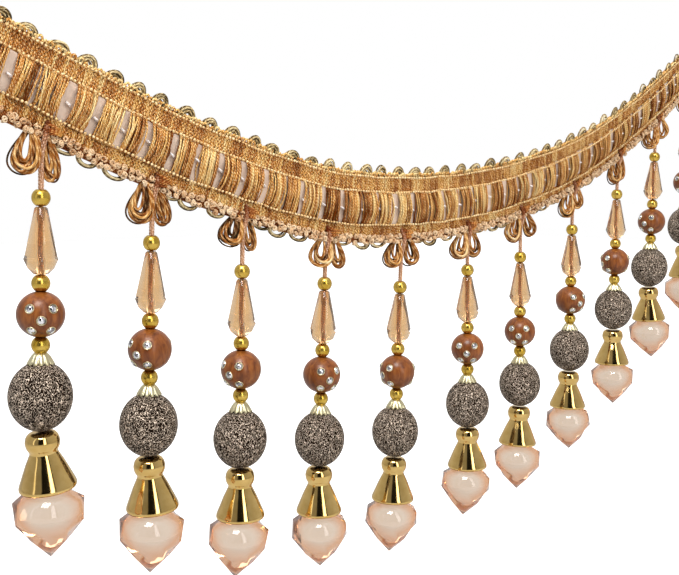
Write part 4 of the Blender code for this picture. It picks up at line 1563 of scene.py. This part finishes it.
def capShell():
    # a thin fluted skirt: r (1 + depth x share (|cos(flutes a / 2)| - 1/2)), with a scalloped rim
    radii, heights = smoothProfile(cap["corners"], cap["steps"])
    sides = cap["flutes"] * cap["sidesPerFlute"]
    turn = 2 * math.pi * np.arange(sides) / sides
    share = np.clip((radii - cap["flatTo"]) / (cap["fullAt"] - cap["flatTo"]), 0, 1)[:, None]
    wave = np.abs(np.cos(cap["flutes"] * turn / 2))[None, :] - 0.5
    spread = radii[:, None] * (1 + cap["depth"] * share * wave)
    fall = heights[:, None] - cap["scallop"] * share ** 3 * wave
    rings = np.stack([spread * np.cos(turn), spread * np.sin(turn), fall], axis=-1)
    return ringGrid(rings, True, False)


bell = {
    "corners": (    # radius, height in mm
        (0.6, -48.5), (2.1, -48.45), (2.8, -48.7), (3.35, -49.4), (3.62, -50.5), (3.48, -51.6),
        (3.05, -52.4), (2.84, -52.8), (3.02, -53.2), (4.10, -55.4), (5.85, -59.6), (6.02, -60.2),
        (5.90, -60.75), (5.5, -60.85), (5.1, -60.6), (4.9, -60.0), (4.4, -59.8), (0.4, -59.8)),
    "steps": 72,
    "sides": 48,
}


def bellShell():
    # a rounded collar over a cone with a rolled rim and a closed underside
    radii, heights = smoothProfile(bell["corners"], bell["steps"])
    return turnedShell(radii, heights, bell["sides"], bored=False)


facetSides = 8


def facetRings(rings):
    # flat facets: rings of (radius mm, depth mm, turn in facets) with the same number of sides
    radii, depths, offsets = np.array(rings, float).T[:, :, None]
    turn = 2 * math.pi * (np.arange(facetSides) + offsets) / facetSides
    levels = np.broadcast_to(-depths, turn.shape)
    return np.stack([radii * np.cos(turn), radii * np.sin(turn), levels], axis=-1) * mm


def splitFlat(shell):
    # every face as triangles, so that each facet is flat
    quads, triangles = shell["quads"], shell["triangles"]
    faces = np.concatenate([quads[:, [0, 1, 2]], quads[:, [0, 2, 3]], triangles])
    result = emptyShell()
    result["points"] = shell["points"]
    result["triangles"] = faces
    result["triangleUv"] = np.zeros((len(faces), 3, 2))
    result["dye"] = shell["dye"]
    return result


def shadeDown(shell, bend):
    # dye = (share of the way down) to the power bend
    heights = shell["points"][:, 2]
    shell["dye"] = ((heights.max() - heights) / np.ptp(heights)) ** bend
    return shell


teardropRings = (
    (1.05, 1.85, 0.0), (1.40, 2.15, 0.0), (3.42, 11.8, 0.0), (3.46, 12.6, 0.5), (2.80, 14.4, 0.0),
    (1.55, 15.55, 0.5), (1.05, 15.7, 0.5), (0.62, 15.4, 0.5), (0.62, 2.2, 0.0),
)
crystalRings = (
    (4.40, 61.1, 0.0), (7.35, 63.3, 0.5), (7.42, 67.4, 0.0), (4.20, 71.7, 0.5), (0.12, 75.7, 0.5),
)


def teardropShell():
    # long upper facets and short lower ones, bored through
    return shadeDown(splitFlat(ringGrid(facetRings(teardropRings), True, False)), 1.0)


def crystalShell():
    # table, sloping shoulder, upright girdle and a long pyramid
    return shadeDown(splitFlat(ringGrid(facetRings(crystalRings), False, True)), 2.0)


stones = {
    "clusters": 2,
    "spots": ((0, 0), (-1, 1), (1, 1), (-1, -1), (1, -1)),  # across, up in steps
    "spread": 30.0,
    "rise": 29.0,
    "tilt": -10.0,
    "sink": 0.12 * mm,
    "rings": ((0.55, -0.40, 0.0), (0.92, -0.14, 0.5), (0.95, 0.20, 0.0)),  # radius, -height, turn in facets
    "rimRadii": (0.92, 0.99, 1.04, 0.99),
    "rimHeights": (0.16, 0.20, 0.02, -0.2),
    "rimSides": 12,
}


def stoneShell():
    # an eight-sided low dome: table, crown and girdle
    return splitFlat(ringGrid(facetRings(stones["rings"]), False, True))


def rimShell():
    # the thin metal rim round a stone
    radii, heights = np.array(stones["rimRadii"]) * mm, np.array(stones["rimHeights"]) * mm
    return turnedShell(radii, heights, stones["rimSides"])


def stoneTurns():
    # directions of the stones: a five-spot on each side of the bead
    turns = []
    for cluster in range(stones["clusters"]):
        for across, up in stones["spots"]:
            longitude = math.radians(360.0 / stones["clusters"] * cluster + stones["spread"] * across)
            latitude = math.radians(stones["tilt"] + stones["rise"] * up)
            out = np.array([
                math.cos(latitude) * math.cos(longitude), math.cos(latitude) * math.sin(longitude),
                math.sin(latitude)])
            side = unit(np.cross(np.array(upwards), out))
            turns.append(np.stack([side, np.cross(out, side), out], axis=1))
    return turns


woodBead = {
    "radius": 4.9 * mm,
    "halfHeight": 4.8 * mm,
    "depth": 23.9 * mm,
    "hole": 0.95 * mm,
    "lip": 0.12 * mm,
    "steps": 28,
    "sides": 40,
}

ball = {
    "radius": 6.55 * mm,
    "halfHeight": 7.3 * mm,
    "depth": 41.0 * mm,
    "hole": 1.0 * mm,
    "lip": 0.12 * mm,
    "steps": 36,
    "sides": 48,
}


def repeatStones(shell):
    # a copy of the stone or rim at each place on the bead, sunk a little
    centre = np.array([0.0, 0.0, -woodBead["depth"]])
    reach = np.array([woodBead["radius"], woodBead["radius"], woodBead["halfHeight"]])
    return joinShells([
        moveShell(shell, turn, centre + turn[:, 2] * (reach - stones["sink"])) for turn in stoneTurns()])


def makeDrops():
    parts = (
        # piece, shape, place, material, slot, node, smooth
        ("goldBeads", goldBeadShell(), "string", beadGold, "gold_plate", "string", True),
        ("flutedCap", capShell(), "string", capGold, "gold_plate", None, True),
        ("goldBell", bellShell(), "bell", bellGold, "gold_plate", None, True),
        ("peachTeardrop", teardropShell(), "string", peach, "peach_acrylic", "teardrop", False),
        ("brownBead", turnedShell(*ballProfile(woodBead), woodBead["sides"]), "string", brown,
         "wood_bead", "wood_bead", True),
        ("stones", repeatStones(stoneShell()), "stones", stone, "wood_bead", None, False),
        ("stoneRims", repeatStones(rimShell()), "stones", capGold, "gold_plate", None, True),
        ("crackleBall", turnedShell(*ballProfile(ball), ball["sides"]), "string", crackle,
         "stardust_bronze", "ball", True),
        ("crystalDrop", crystalShell(), "crystal", crystal, "clear_acrylic", "crystal", False),
    )
    for drop in drops:
        for piece, shell, place, material, slot, node, smooth in parts:
            addPiece(
                f"{piece}_{drop['name']}", moveShell(shell, *drop[place]), material,
                node and f"{node}_{drop['name']}", smooth)


makeDrops()
print("bead drops made")


# Floor

def addFloor():
    # a pale floor: plain white to the eye, plain grey through glass and softly lit in reflections
    side = studio["floorHalf"]
    mesh = bpy.data.meshes.new("floor")
    corners = [(-side, -side), (side, -side), (side, side), (-side, side)]
    mesh.from_pydata([(x, y, studio["floorHeight"]) for x, y in corners], [], [(0, 1, 2, 3)])
    floor = bpy.data.objects.new("floor", mesh)
    bpy.context.collection.objects.link(floor)
    material, tree, shader = newMaterial("paleFloor", Roughness=0.9)
    speck = placeGroup(tree, finishGroup, Scale=6.0, Contrast=0.4)
    path = addNode(tree, "LightPath")
    tone = ramp(tree, (speck, "Value"), ((0.0, grey(0.50)), (1.0, grey(0.54))))
    unseen = mixColour(tree, (path, "Is Transmission Ray"), tone, grey(0.0))
    feed(tree, shader, "Base Color", unseen)
    shader.inputs["Emission Color"].default_value = (1.0, 1.0, 1.0, 1.0)
    direct = calculate(tree, "MULTIPLY", (path, "Is Camera Ray"), studio["floorGlow"])
    glow = calculate(tree, "MULTIPLY_ADD", (path, "Is Transmission Ray"), studio["throughGlass"], direct)
    feed(tree, shader, "Emission Strength", glow)
    mesh.materials.append(material)


addFloor()

print("scene ready")
